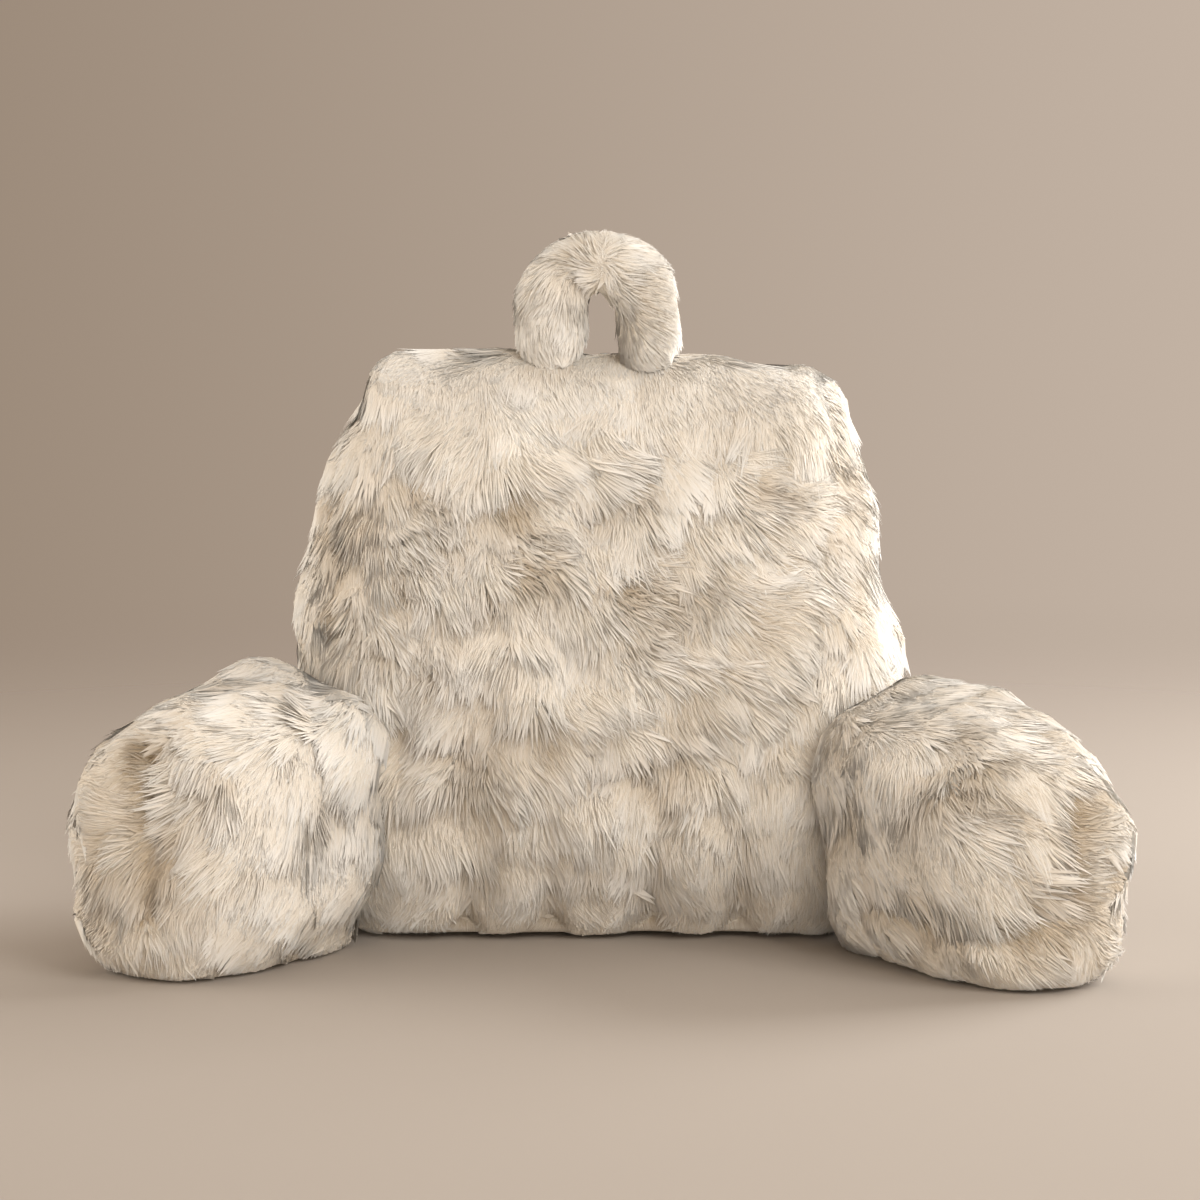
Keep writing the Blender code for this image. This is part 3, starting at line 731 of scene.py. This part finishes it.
def combed(node, points, normals):
    """The pile's way along the surface: the base lie, the guides and whorls where the front view
    sees the surface, and soft noise that turns it about the normal."""
    across, up, back = seen_from_front(points)
    facing = facing_view(normals, back)
    lie = unit(base_lie(node, points, normals)) * BASE_PULL
    for guide in GUIDES:
        angle = math.radians(guide.turn)
        gap = np.hypot(across - guide.across, up - guide.up)
        pull = bell(gap, guide.reach * GUIDE_SPREAD) * facing
        lie = lie + np.outer(pull, [math.cos(angle), 0, math.sin(angle)])
    for spot in WHORLS:
        off = np.stack([across - spot.across, np.zeros(len(across)), up - spot.up], axis=1)
        gap = np.linalg.norm(off, axis=1)
        pull = WHORL_PULL * spot.strength * bell(gap, spot.reach) * facing
        lie = lie + off / (gap + WHORL_HEART)[:, None] * pull[:, None]
    lie = unit(lie - normals * (lie * normals).sum(axis=1, keepdims=True))
    swing = np.zeros(len(points))
    for number, (turn, size) in enumerate(COMB_SWINGS):
        swing += turn * soft_noise(points, size, COATS[node].seed * 10 + number)
    swing *= 1 - CALM_COMB * np.clip(spots_at(across, up, CALMS), 0, 1) * facing
    return turned(lie, normals, swing)


def turned(ways, normals, angle):
    """The ways turned about the normals by each angle: cosine along, and sine to their side."""
    side = np.cross(normals, ways)
    return ways * np.cos(angle)[:, None] + side * np.sin(angle)[:, None]


def wavy(points):
    """The points moved about a little by soft noise, so that the tufts' borders wander."""
    shift = [soft_noise(points, WANDER_SIZE, WANDER_SEED + axis) for axis in range(3)]
    return points + WANDER * np.stack(shift, axis=1)


def tufts_of(points, size, seed):
    """Points join the nearest random centre of a lattice with cells of this size. Gives each
    point's leader, which is the point nearest to that centre, its offset from the centre, and a
    number from 0 to 1 that its tuft shares."""
    cells = np.floor(points / size).astype(np.int64)
    best = np.full(len(points), np.inf)
    home = np.zeros((len(points), 3), np.int64)
    offset = np.zeros((len(points), 3))
    for step in np.ndindex(3, 3, 3):
        near = cells + np.array(step) - 1
        jitter = np.stack([lattice(near, seed + axis) for axis in range(3)], axis=1)
        way = points - (near + jitter) * size
        gap = (way**2).sum(axis=1)
        closer = gap < best
        home[closer], offset[closer], best[closer] = near[closer], way[closer], gap[closer]
    code = (home + CELL_REACH) @ CELL_STEPS
    order = np.lexsort((best, code))
    _, first, member = np.unique(code[order], return_index=True, return_inverse=True)
    leaders = np.empty(len(points), np.int64)
    leaders[order] = order[first][member.reshape(-1)]
    return leaders, offset, lattice(home, seed + SHARED_SEED)


def nearest_on(piece, points):
    """The nearest place on the piece to each point, by a shrinkwrap over loose points."""
    mesh = bpy.data.meshes.new("probe")
    mesh.vertices.add(len(points))
    place_points(mesh, points)
    probe = link(bpy.data.objects.new("probe", mesh))
    wrap = probe.modifiers.new("nearest", "SHRINKWRAP")
    wrap.target = piece
    wrap.wrap_method = "NEAREST_SURFACEPOINT"
    wrap.wrap_mode = "ON_SURFACE"
    applied(probe)
    found = points_of(probe.data)
    mesh = probe.data
    bpy.data.objects.remove(probe)
    bpy.data.meshes.remove(mesh)
    return found


def laid_over(piece, places, normals, heights):
    """The places moved to these heights over the piece's surface, so a strand follows its form."""
    base = nearest_on(piece, places)
    off = places - base
    side = np.where((off * normals).sum(axis=1, keepdims=True) < 0, -1.0, 1.0)
    return base + unit(off * side + normals * STEADY) * heights[:, None]


def standing(stand, patch, crumb, calm, slope, soft):
    """How steeply each strand stands, in radians: a sum of its place's shares in degrees."""
    degrees = soft + stand.middle + stand.patch * patch + stand.crumb * crumb
    return np.radians(degrees + stand.calm * calm + stand.slope * slope)


def strand_paths(coat, piece, roots, normals, long, draw):
    """Root, bend and tip of each strand: it leaves its root steeply and lies down along the comb,
    turning a little, then leans towards its wisp's leader, the more the nearer its tip. With them
    come its painted shade, darker in crumbs, hollows and seams and where a tuft begins, lighter as
    painted light in calm places and where a tuft rises, and how calm its place is."""
    count = len(roots)
    across, up, back = seen_from_front(roots)
    facing = facing_view(normals, back)
    crumb = np.clip(spots_at(across, up, CRUMBS) * facing, 0, 1)
    crumb = crumb * ramp(soft_noise(roots, CRUMB_SIZE, coat.seed + CRUMB_SEED), *CRUMB_RAMP)
    calm = spots_at(across, up, CALMS) * facing
    # Hollows and seams shorten the pile and, below, paint shade on it.
    hollow = spots_at(across, up, HOLLOWS) + seams_at(across, up) / SEAM_SHADE
    hollow = np.clip(hollow, 0, 1) * facing
    lie = combed(coat.node, roots, normals)
    _, offset, tuft = tufts_of(wavy(roots), TUFT_SIZE, TUFT_SEED)
    slope = tuft_slope(offset, lie) * (1 - calm)
    wild = draw.normal(0, 1, (3, count))
    stray = wild[0] * (STRAY + STRAY_CRUMB * crumb) + STRAY_TUFT * (tuft - 0.5) * (1 - calm)
    lie = turned(lie, normals, stray)
    length = long * (1 + LONG_WAVE * soft_noise(roots, LONG_SIZE, coat.seed + LENGTH_SEED))
    own = np.clip(1 + LONG_VARY * wild[1], *LONG_ENDS)
    length *= own * (1 - SHORT_CRUMB * crumb) * (1 - SHORT_HOLLOW * hollow)
    if coat.node != "handle":
        length *= 1 - FOOT_SHORT * (1 - ramp(roots[:, 2], 0.0, FOOT_HIGH))
    patch = soft_noise(roots, PATCH_SIZE, coat.seed + PATCH_SEED)
    fuzz = (draw.random(count) < FUZZ_SHARE) * 1.0
    length *= 1 - (1 - FUZZ_LONG) * fuzz
    soft = HANDLE_STAND * (coat.node == "handle") + FUZZ_STAND * fuzz
    bend = BEND_WAVE * soft_noise(roots, BEND_SIZE, coat.seed + BEND_SEED) + BEND_VARY * wild[2]
    flatter = 1 - TOP_FLAT * ramp(normals[:, 2], *TOP_RAMP)
    path, heights = [roots], [np.full(count, -ROOT_DEEP)]
    for low, high, stand in ((0.0, STRAND_BEND, TO_BEND), (STRAND_BEND, 1.0, TO_TIP)):
        rise = standing(stand, patch, crumb, calm, slope, soft) * flatter
        way = turned(lie, normals, bend * (low + high) / 2 * BEND_TURN)
        far = length * (high - low)
        path.append(path[-1] + way * (np.cos(rise) * far)[:, None])
        heights.append(np.maximum(heights[-1] + np.sin(rise) * far, LEAST_HIGH))
    path, heights = np.stack(path, axis=1), np.stack(heights, axis=1)
    path, heights = gathered(coat, roots, path, heights, crumb, calm)
    for number in range(3):
        path[:, number] = laid_over(piece, path[:, number], normals, heights[:, number])
    path = off_floor(coat, path, roots, normals, across, facing)
    # Painted shade: darker in crumbs, hollows and seams and where a tuft begins, and lighter, as
    # painted light, in calm places and at a tuft's raised end.
    shade = SHADE_CRUMB * crumb + SHADE_HOLLOW * hollow - SHADE_CALM * calm - SHADE_SLOPE * slope
    return path, np.clip(shade, *SHADE_ENDS), calm


def gathered(coat, roots, path, heights, crumb, calm):
    """The strands leant towards their wisps' leaders: each place goes a share of the way to the
    leader's, and the share grows with a power of the way along the strand."""
    along = np.array([0.0, STRAND_BEND, 1.0])
    for size, pull in WISPS:
        leaders, _, _ = tufts_of(roots, size, coat.seed + WISP_SEED)
        wave = soft_noise(roots, PULL_SIZE, coat.seed + PULL_SEED)
        strength = pull * (PULL_EVEN + PULL_WAVE * wave) * (1 - PULL_CALM * calm)
        strength = np.clip(strength + PULL_CRUMB * crumb, 0, PULL_MOST)
        share = strength[:, None] * along**PULL_POWER
        path = path + (path[leaders] - path) * share[:, :, None]
        heights = heights + (heights[leaders] - heights) * share
    return path, heights


def off_floor(coat, path, roots, normals, across, facing):
    """The strands lifted clear of the floor, higher in the hem's notches, and a little outward."""
    notch = notches_at(across, NOTCH_FUR)
    wave = HEM_WAVE * soft_noise(roots, HEM_SIZE, HEM_SEED)
    hem = HEM_LIFT * (notch + HEM_EVEN + wave) * facing
    hem = hem * (1.0 if coat.node == "backrest" else ARM_HEM)
    floor = FLOOR_CLEAR + np.maximum(hem, 0)[:, None]
    under = np.maximum(floor - path[:, :, 2], 0)
    outward = unit(normals * np.array([1, 1, 0]) + 1e-6)
    path = path + outward[:, None, :] * (FLOOR_SPREAD * under)[:, :, None]
    path[:, :, 2] = np.maximum(path[:, :, 2], floor)
    return path


def strand_mesh(name, path, half, tones, roll, lifts):
    """Closed slivers of four points: a root, two points side by side at the bend, and a tip. The
    bend stands over the line from root to tip, and the points turn a little about that line."""
    count = len(path)
    root, bend, tip = path[:, 0], path[:, 1], path[:, 2]
    line = unit(tip - root)
    side = unit(np.cross(line, lifts))
    over = np.cross(side, line)
    bulge = ((bend - root) * over).sum(axis=1)
    bend = bend + over * np.maximum(STRAND_THICK - bulge, 0)[:, None]
    spread = side * np.cos(roll)[:, None] + over * np.sin(roll)[:, None]
    left, right = bend - spread * half[:, None], bend + spread * half[:, None]
    for place in (left, right):
        place[:, 2] = np.maximum(place[:, 2], FLOOR_SKIN)
    volume = (np.cross(left - root, right - root) * (tip - root)).sum(axis=1, keepdims=True)
    swapped = volume > 0
    soft_left = unit(lifts - spread * SIDE_LIGHT)
    soft_right = unit(lifts + spread * SIDE_LIGHT)
    points = np.stack(
        [root, np.where(swapped, right, left), np.where(swapped, left, right), tip], axis=1
    )
    soft = np.stack(
        [
            lifts,
            np.where(swapped, soft_right, soft_left),
            np.where(swapped, soft_left, soft_right),
            lifts,
        ],
        axis=1,
    )
    sides = np.array([[0, 1, 2], [3, 2, 1], [0, 3, 1], [0, 2, 3]])
    faces = (sides[None] + (np.arange(count) * 4)[:, None, None]).reshape(-1)
    mesh = bpy.data.meshes.new(name)
    mesh.vertices.add(count * 4)
    mesh.loops.add(len(faces))
    mesh.polygons.add(count * 4)
    mesh.vertices.foreach_set("co", points.ravel())
    mesh.loops.foreach_set("vertex_index", faces)
    mesh.polygons.foreach_set("loop_start", np.arange(0, len(faces), 3))
    mesh.update()
    mesh.validate()
    along = np.tile([0.0, STRAND_BEND, STRAND_BEND, 1.0], count)
    for field, values in (("along", along), ("tone", np.repeat(tones, 4))):
        layer = mesh.attributes.new(field, "FLOAT", "POINT")
        layer.data.foreach_set("value", values)
    mesh.shade_smooth()
    mesh.normals_split_custom_set_from_vertices(soft.reshape(-1, 3).tolist())
    return mesh


def covered(places, neighbours):
    """True for each place right against a neighbour's padding."""
    hidden = np.zeros(len(places), bool)
    for piece, reach in neighbours:
        hidden |= np.linalg.norm(places - nearest_on(piece, places), axis=1) < reach
    return hidden


def region_of(node, roots, normals):
    """The number of the piece that each strand belongs to."""
    if node != "backrest":
        return np.zeros(len(roots), int)
    front, back = normals[:, 1] < -BORDER_TURN, normals[:, 1] > BORDER_TURN
    left = roots[:, 0] < 0
    return np.select([front & left, front, back, left], [0, 1, 2, 3], 4)


def padding_of(node):
    """The padded form under a coat, which is made first."""
    piece = bpy.data.objects.get(node + "_padding")
    if piece is None:
        raise RuntimeError("make the padding before the fur: " + node)
    return piece


def make_coat(node, material, settings):
    """The fur of one cushion, as one mesh of strands for each region."""
    coat, piece = COATS[node], padding_of(node)
    neighbours = [
        (padding_of(other), LEG_REACH if "handle" in (other, node) else SEAT_REACH)
        for other in PADDINGS
        if other != node
    ]
    long = settings.handle_length if node == "handle" else settings.length
    draw = np.random.default_rng(coat.seed)

    def weigh(places, ways):
        share = np.where(ways[:, 1] > BEHIND_TURN, coat.back, 1.0)
        return share * ramp(ways[:, 2], *UNDER_RAMP) * ~covered(places, neighbours)

    roots, normals, relief_shading = scattered(piece.data, coat.strands, weigh, draw)
    path, shade, calm = strand_paths(coat, piece, roots, normals, long, draw)
    vary = 1 + WIDTH_VARY * draw.normal(0, 1, coat.strands)
    half = settings.width / 2 * np.clip(vary, *WIDTH_ENDS)
    # A strand's tone: a random spread, painted light on the relief's puffs and painted shade in
    # its valleys, less spread in calm places, and darkened by the painted shade.
    spread = TONE_SPREAD * (draw.random(coat.strands) - 0.5) + TONE_RELIEF * relief_shading
    tones = np.clip(TONE + spread * (1 - TONE_CALM * calm) - TONE_SHADE * shade, 0, 1)
    roll = ROLL * draw.normal(0, 1, coat.strands)
    region = region_of(node, roots, normals)
    for number, ending in enumerate(REGION_NAMES.get(node, ("",))):
        mine = region == number
        name = node + "_fur" + ending
        mesh = strand_mesh(name, path[mine], half[mine], tones[mine], roll[mine], normals[mine])
        mesh.materials.append(material)
        fur = link(bpy.data.objects.new(name, mesh))
        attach(fur, "root")


# --- materials -------------------------------------------------------------------------------


def set_inputs(node, values):
    """Puts these values on the node's named inputs."""
    for entry, value in values.items():
        node.inputs[entry].default_value = value


def add_node(tree, kind, values=None, **settings):
    """A new node with these settings, and with these values on its inputs."""
    node = tree.nodes.new(kind)
    for field, value in settings.items():
        setattr(node, field, value)
    set_inputs(node, values or {})
    return node


def wire(tree, *pairs):
    """Links each pair, from an output to an input."""
    for leave, enter in pairs:
        tree.links.new(leave, enter)


def mapped(tree, source, ends, result=(0.0, 1.0), kind="LINEAR"):
    """What the source gives, with these two ends moved to the result's."""
    values = {"From Min": ends[0], "From Max": ends[1], "To Min": result[0], "To Max": result[1]}
    spread = add_node(tree, "ShaderNodeMapRange", values, interpolation_type=kind)
    wire(tree, (source, spread.inputs["Value"]))
    return spread.outputs["Result"]


def mixed(tree, share, first, second):
    """The blend of two colours, by the share of the second."""
    mix = add_node(tree, "ShaderNodeMix", data_type="RGBA")
    wire(tree, (share, mix.inputs["Factor"]), (first, mix.inputs["A"]), (second, mix.inputs["B"]))
    return mix.outputs["Result"]


def new_material(name, finish):
    """A material, its nodes and its shader, with this finish on the shader's sockets."""
    material = bpy.data.materials.new(name)
    material.use_nodes = True
    shader = material.node_tree.nodes["Principled BSDF"]
    set_inputs(shader, finish)
    return material, material.node_tree, shader


def fur_tone_group():
    """Colour of a strand: from its root, painted darker and warmer as painted shade deep in the
    pile, to its tip, then mixed towards the shade-and-dark colour by its tone, which carries
    painted shade and light, a lighter or darker strand here and there and broad warm patches."""
    group = bpy.data.node_groups.get("fur_tone")
    if group:
        return group
    group = bpy.data.node_groups.new("fur_tone", "ShaderNodeTree")
    number, colour = "NodeSocketFloat", "NodeSocketColor"
    for name, kind, value in (
        ("Along", number, 0.5),
        ("Strand", number, 0.5),
        ("Shaded root", colour, (*FUR_SHADED_ROOT, 1.0)),
        ("Tip", colour, (*FUR_TIP, 1.0)),
        ("Deep", colour, (*FUR_SHADE_AND_DARK, 1.0)),
        ("Patches", number, PATCHES),
    ):
        entry = group.interface.new_socket(name=name, in_out="INPUT", socket_type=kind)
        entry.default_value = value
    group.interface.new_socket(name="Colour", in_out="OUTPUT", socket_type=colour)
    come = add_node(group, "NodeGroupInput").outputs
    leave = add_node(group, "NodeGroupOutput").inputs
    place = add_node(group, "ShaderNodeTexCoord")
    patch = add_node(group, "ShaderNodeTexNoise", {"Detail": 3.0})
    level = add_node(group, "ShaderNodeMath", operation="ADD", use_clamp=True)
    along = mapped(group, come["Along"], (0.0, 0.95), kind="SMOOTHSTEP")
    blend = mixed(group, along, come["Shaded root"], come["Tip"])
    wire(
        group,
        (place.outputs["Object"], patch.inputs["Vector"]),
        (come["Patches"], patch.inputs["Scale"]),
        (come["Strand"], level.inputs[0]),
        (mapped(group, patch.outputs["Fac"], (0.35, 0.70), (0.04, -0.12)), level.inputs[1]),
        (mixed(group, level.outputs["Value"], come["Deep"], blend), leave["Colour"]),
    )
    return group


FUR_FINISH = {
    "Roughness": 0.80,
    "Specular IOR Level": 0.25,
    "Sheen Weight": 0.12,
    "Sheen Roughness": 0.45,
    "Sheen Tint": (1.0, 0.93, 0.80, 1.0),
}
NAP_SCALE = (1300.0, 45.0, 1.0)  # fibres to a metre across the comb, and along it


def fur_material(name, settings, strands):
    """Soft matt fibre. Strands read their own place along themselves and their tone. The padding
    under them has a short nap of its own, and is painted darker than the strands as painted shade
    under the fur, lighter on the puffs of its relief and darker in its valleys."""
    made = bpy.data.materials.get(name)
    if made:
        return made
    material, tree, shader = new_material(name, FUR_FINISH)
    tone = add_node(
        tree,
        "ShaderNodeGroup",
        {
            "Shaded root": (*settings.shaded_root_colour, 1.0),
            "Tip": (*settings.tip_colour, 1.0),
            "Deep": (*settings.shade_and_dark_colour, 1.0),
            "Patches": settings.patches,
            "Along": 0.50,
        },
        node_tree=fur_tone_group(),
    )
    wire(tree, (tone.outputs["Colour"], shader.inputs["Base Color"]))
    if strands:
        for field, entry in (("along", "Along"), ("tone", "Strand")):
            read = add_node(tree, "ShaderNodeAttribute", attribute_name=field)
            wire(tree, (read.outputs["Fac"], tone.inputs[entry]))
        return material
    place = add_node(tree, "ShaderNodeUVMap", uv_map="comb")
    stretch = add_node(tree, "ShaderNodeMapping", {"Scale": NAP_SCALE})
    nap = add_node(tree, "ShaderNodeTexNoise", {"Scale": 1.0, "Detail": 3.0})
    relief_shading = add_node(tree, "ShaderNodeAttribute", attribute_name="relief_shading")
    # The nap's streaks, with painted light on the relief's puffs and painted shade in its valleys.
    nap_and_shading = add_node(tree, "ShaderNodeMath", {1: 0.30}, operation="MULTIPLY_ADD")
    bump = add_node(tree, "ShaderNodeBump", {"Strength": 0.8, "Distance": 0.002})
    wire(
        tree,
        (place.outputs["UV"], stretch.inputs["Vector"]),
        (stretch.outputs["Vector"], nap.inputs["Vector"]),
        (relief_shading.outputs["Fac"], nap_and_shading.inputs[0]),
        (mapped(tree, nap.outputs["Fac"], (0.30, 0.70), (0.55, 1.00)), nap_and_shading.inputs[2]),
        (nap_and_shading.outputs["Value"], tone.inputs["Strand"]),
        (nap.outputs["Fac"], bump.inputs["Height"]),
        (bump.outputs["Normal"], shader.inputs["Normal"]),
    )
    return material


def stage_material(settings):
    """The pale floor, which fades into the background far from the pillow."""
    material, tree, shader = new_material(
        "stage_floor",
        {
            "Base Color": (*settings.floor_colour, 1.0),
            "Roughness": 0.9,
            "Specular IOR Level": 0.1,
        },
    )
    place = add_node(tree, "ShaderNodeTexCoord")
    far = add_node(tree, "ShaderNodeVectorMath", operation="LENGTH")
    fade = mapped(tree, far.outputs["Value"], (0.5, 2.4), (1.0, 0.0), "SMOOTHSTEP")
    wire(tree, (place.outputs["Object"], far.inputs[0]), (fade, shader.inputs["Alpha"]))
    return material


# --- stage -----------------------------------------------------------------------------------

FLOOR_COLOUR = (0.420, 0.373, 0.328)
STUDIO_LEFT = (0.335, 0.255, 0.190)
STUDIO_RIGHT = (0.640, 0.530, 0.440)
LAMP_AIM = Vector((0, 0, 0.2))

Lamp = namedtuple("Lamp", "name x y z size power colour")
LAMPS = rows(
    Lamp,
    ("key", 1.7, -2.1, 1.9, 1.6, 44.0, (1.0, 0.995, 0.975)),
    ("fill", 0.4, -2.8, 0.45, 2.2, 34.0, (1.0, 0.94, 0.86)),
    ("side", -2.1, 0.1, 0.4, 1.8, 38.0, (1.0, 0.94, 0.86)),
    ("top", 0.4, 0.4, 2.4, 2.0, 9.0, (1.0, 0.98, 0.95)),
    ("rim", 1.95, 0.90, 1.0, 1.4, 62.0, (1.0, 1.0, 1.0)),
)


def make_floor(settings):
    """A wide disc: one face through points at even turns on a circle."""
    sides, radius = 96, 6.0
    turn = np.arange(sides) * (2 * math.pi / sides)
    rim = np.stack([np.cos(turn) * radius, np.sin(turn) * radius, np.zeros(sides)], axis=1)
    floor_mesh = bpy.data.meshes.new("stage_floor")
    floor_mesh.from_pydata(rim.tolist(), [], [list(range(sides))])
    floor_mesh.materials.append(stage_material(settings))
    link(bpy.data.objects.new("stage_floor", floor_mesh))


def make_lamp(lamp, strength):
    """A square soft light that faces the pillow's middle."""
    light = bpy.data.lights.new(lamp.name, "AREA")
    light.size = lamp.size
    light.energy = lamp.power * strength
    light.color = lamp.colour
    thing = link(bpy.data.objects.new(lamp.name, light))
    thing.location = (lamp.x, lamp.y, lamp.z)
    aim = LAMP_AIM - thing.location
    thing.rotation_euler = aim.to_track_quat("-Z", "Y").to_euler()


def make_camera():
    """The camera at the photograph's angle."""
    data = bpy.data.cameras.new("view")
    data.lens = CAMERA_LENS
    data.sensor_width = CAMERA_SENSOR
    camera = link(bpy.data.objects.new("view", data))
    back = Vector((0, -math.cos(CAMERA_RISE), math.sin(CAMERA_RISE)))
    camera.location = CAMERA_TARGET + back * CAMERA_DISTANCE
    camera.rotation_euler = (-back).to_track_quat("-Z", "Y").to_euler()
    bpy.context.scene.camera = camera


def make_world(settings):
    """A plain studio that is a little darker on the left than on the right."""
    world = bpy.data.worlds.new("studio")
    world.use_nodes = True
    tree = world.node_tree
    shade = tree.nodes["Background"]
    set_inputs(shade, {"Strength": settings.background_strength})
    place = add_node(tree, "ShaderNodeTexCoord")
    parts = add_node(tree, "ShaderNodeSeparateXYZ")
    colours = {
        "A": (*settings.background_left, 1.0),
        "B": (*settings.background_right, 1.0),
    }
    blend = add_node(tree, "ShaderNodeMix", colours, data_type="RGBA")
    across = mapped(tree, parts.outputs["X"], (-0.26, 0.26), kind="SMOOTHSTEP")
    wire(
        tree,
        (place.outputs["Generated"], parts.inputs["Vector"]),
        (across, blend.inputs["Factor"]),
        (blend.outputs["Result"], shade.inputs["Color"]),
    )
    bpy.context.scene.world = world


# --- settings, operators and panel -----------------------------------------------------------


def colour_setting(name, description, default):
    """A colour that the user may change."""
    return bpy.props.FloatVectorProperty(
        name=name,
        description=description,
        subtype="COLOR",
        size=3,
        min=0.0,
        max=1.0,
        default=default,
    )


def length_setting(name, description, default, low, high):
    """A length that the user may change, in metres."""
    return bpy.props.FloatProperty(
        name=name,
        description=description,
        subtype="DISTANCE",
        unit="LENGTH",
        precision=5,
        min=low,
        max=high,
        default=default,
    )


class PillowPaddingSettings(bpy.types.PropertyGroup):
    """The filling under the fur."""

    pressure: bpy.props.FloatProperty(
        name="Pressure",
        description="How hard the filling pushes the cloth out",
        min=0.0,
        max=10.0,
        default=4.0,
    )
    puffs: bpy.props.FloatProperty(
        name="Puffs",
        description="How much the filling gathers in puffs, where 1 is as in the photograph",
        subtype="FACTOR",
        min=0.0,
        max=2.0,
        default=1.0,
    )


class PillowFurSettings(bpy.types.PropertyGroup):
    """The strands of the faux fur."""

    length: length_setting(
        "Strand length", "Length of a strand on the backrest and the arms", 0.036, 0.005, 0.060
    )
    handle_length: length_setting(
        "Handle strand length", "Length of a strand on the handle", 0.020, 0.005, 0.040
    )
    width: length_setting(
        "Strand width", "Width of a strand where it bends", 0.00075, 0.0003, 0.0030
    )
    tip_colour: colour_setting("Tip colour", "Colour of a strand's tip", FUR_TIP)
    # The roots' colour is painted shade deep in the pile.
    shaded_root_colour: colour_setting("Root colour", "Colour of a strand's root", FUR_SHADED_ROOT)
    # Painted shade in the pile's hollows, crumbs and seams, and randomly darker strands, mix
    # towards this colour.
    shade_and_dark_colour: colour_setting("Deep colour", "Colour of the pile in its hollows", FUR_SHADE_AND_DARK)
    patches: bpy.props.FloatProperty(
        name="Patches",
        description="How many warm patches there are to a metre",
        min=1.0,
        max=200.0,
        default=PATCHES,
    )


class PillowStageSettings(bpy.types.PropertyGroup):
    """The floor and the studio around the pillow."""

    floor_colour: colour_setting("Floor colour", "Colour of the plain pale floor", FLOOR_COLOUR)
    background_left: colour_setting(
        "Background left", "Colour of the studio's left side, behind the pillow", STUDIO_LEFT
    )
    background_right: colour_setting(
        "Background right", "Colour of the studio's right side, behind the pillow", STUDIO_RIGHT
    )
    background_strength: bpy.props.FloatProperty(
        name="Background strength",
        description="How much light the studio itself gives",
        min=0.0,
        default=0.9,
    )
    lamp_strength: bpy.props.FloatProperty(
        name="Lamp strength",
        description="How bright the lamps are beside the photograph's",
        min=0.0,
        default=1.0,
    )


def lay_fur(context, nodes):
    """The coats of these cushions, in one shared finish."""
    settings = context.scene.pillow_fur
    material = fur_material("cream_fur", settings, True)
    for node in nodes:
        make_coat(node, material, settings)


class PILLOW_OT_padding(bpy.types.Operator):
    """Make the padded forms of the backrest, the arms and the handle"""

    bl_idname = "pillow.padding"
    bl_label = "Padding"

    def execute(self, context):
        settings = context.scene.pillow_padding
        material = fur_material("fur_backing", context.scene.pillow_fur, False)
        for number, node in enumerate(PADDINGS):
            make_cushion(node, material, PUFF_SEED + 10 * number, settings)
        return {"FINISHED"}


class PILLOW_OT_backrest_fur(bpy.types.Operator):
    """Lay the fur over the backrest"""

    bl_idname = "pillow.backrest_fur"
    bl_label = "Backrest fur"

    def execute(self, context):
        lay_fur(context, ("backrest",))
        return {"FINISHED"}


class PILLOW_OT_arm_fur(bpy.types.Operator):
    """Lay the fur over both arms"""

    bl_idname = "pillow.arm_fur"
    bl_label = "Arm fur"

    def execute(self, context):
        lay_fur(context, ("arm_left", "arm_right"))
        return {"FINISHED"}


class PILLOW_OT_handle_fur(bpy.types.Operator):
    """Lay the fur over the loop handle"""

    bl_idname = "pillow.handle_fur"
    bl_label = "Handle fur"

    def execute(self, context):
        lay_fur(context, ("handle",))
        return {"FINISHED"}


class PILLOW_OT_stage(bpy.types.Operator):
    """Make the floor, the lights and the camera"""

    bl_idname = "pillow.stage"
    bl_label = "Stage"

    def execute(self, context):
        settings = context.scene.pillow_stage
        make_camera()
        make_floor(settings)
        make_world(settings)
        for lamp in LAMPS:
            make_lamp(lamp, settings.lamp_strength)
        context.scene.view_settings.view_transform = "Standard"
        return {"FINISHED"}


class PILLOW_PT_sidebar(bpy.types.Panel):
    """The pillow's pieces and their settings"""

    bl_label = "Reading pillow"
    bl_idname = "PILLOW_PT_sidebar"
    bl_space_type = "VIEW_3D"
    bl_region_type = "UI"
    bl_category = "Pillow"

    def draw(self, context):
        scene = context.scene
        groups = (
            ("Padding", scene.pillow_padding, ("pillow.padding",)),
            ("Fur", scene.pillow_fur, FUR_STEPS),
            ("Stage", scene.pillow_stage, ("pillow.stage",)),
        )
        for title, settings, steps in groups:
            box = self.layout.box()
            box.label(text=title)
            for field in settings.bl_rna.properties.keys():
                if field not in ("rna_type", "name"):
                    box.prop(settings, field)
            for step in steps:
                box.operator(step)


FUR_STEPS = ("pillow.backrest_fur", "pillow.arm_fur", "pillow.handle_fur")
SETTINGS = {
    "pillow_padding": PillowPaddingSettings,
    "pillow_fur": PillowFurSettings,
    "pillow_stage": PillowStageSettings,
}
CLASSES = (
    *SETTINGS.values(),
    PILLOW_OT_padding,
    PILLOW_OT_backrest_fur,
    PILLOW_OT_arm_fur,
    PILLOW_OT_handle_fur,
    PILLOW_OT_stage,
    PILLOW_PT_sidebar,
)


def register():
    """Adds the classes, and their settings to the scene."""
    for kind in CLASSES:
        bpy.utils.register_class(kind)
    for name, kind in SETTINGS.items():
        setattr(bpy.types.Scene, name, bpy.props.PointerProperty(type=kind))


def unregister():
    """Takes the settings and the classes away again."""
    for name in SETTINGS:
        delattr(bpy.types.Scene, name)
    for kind in reversed(CLASSES):
        bpy.utils.unregister_class(kind)


def main():
    """Makes the stage, the padding and the fur."""
    register()
    bpy.ops.pillow.stage()
    bpy.ops.pillow.padding()
    bpy.ops.pillow.backrest_fur()
    bpy.ops.pillow.arm_fur()
    bpy.ops.pillow.handle_fur()


if __name__ == "__main__":
    main()
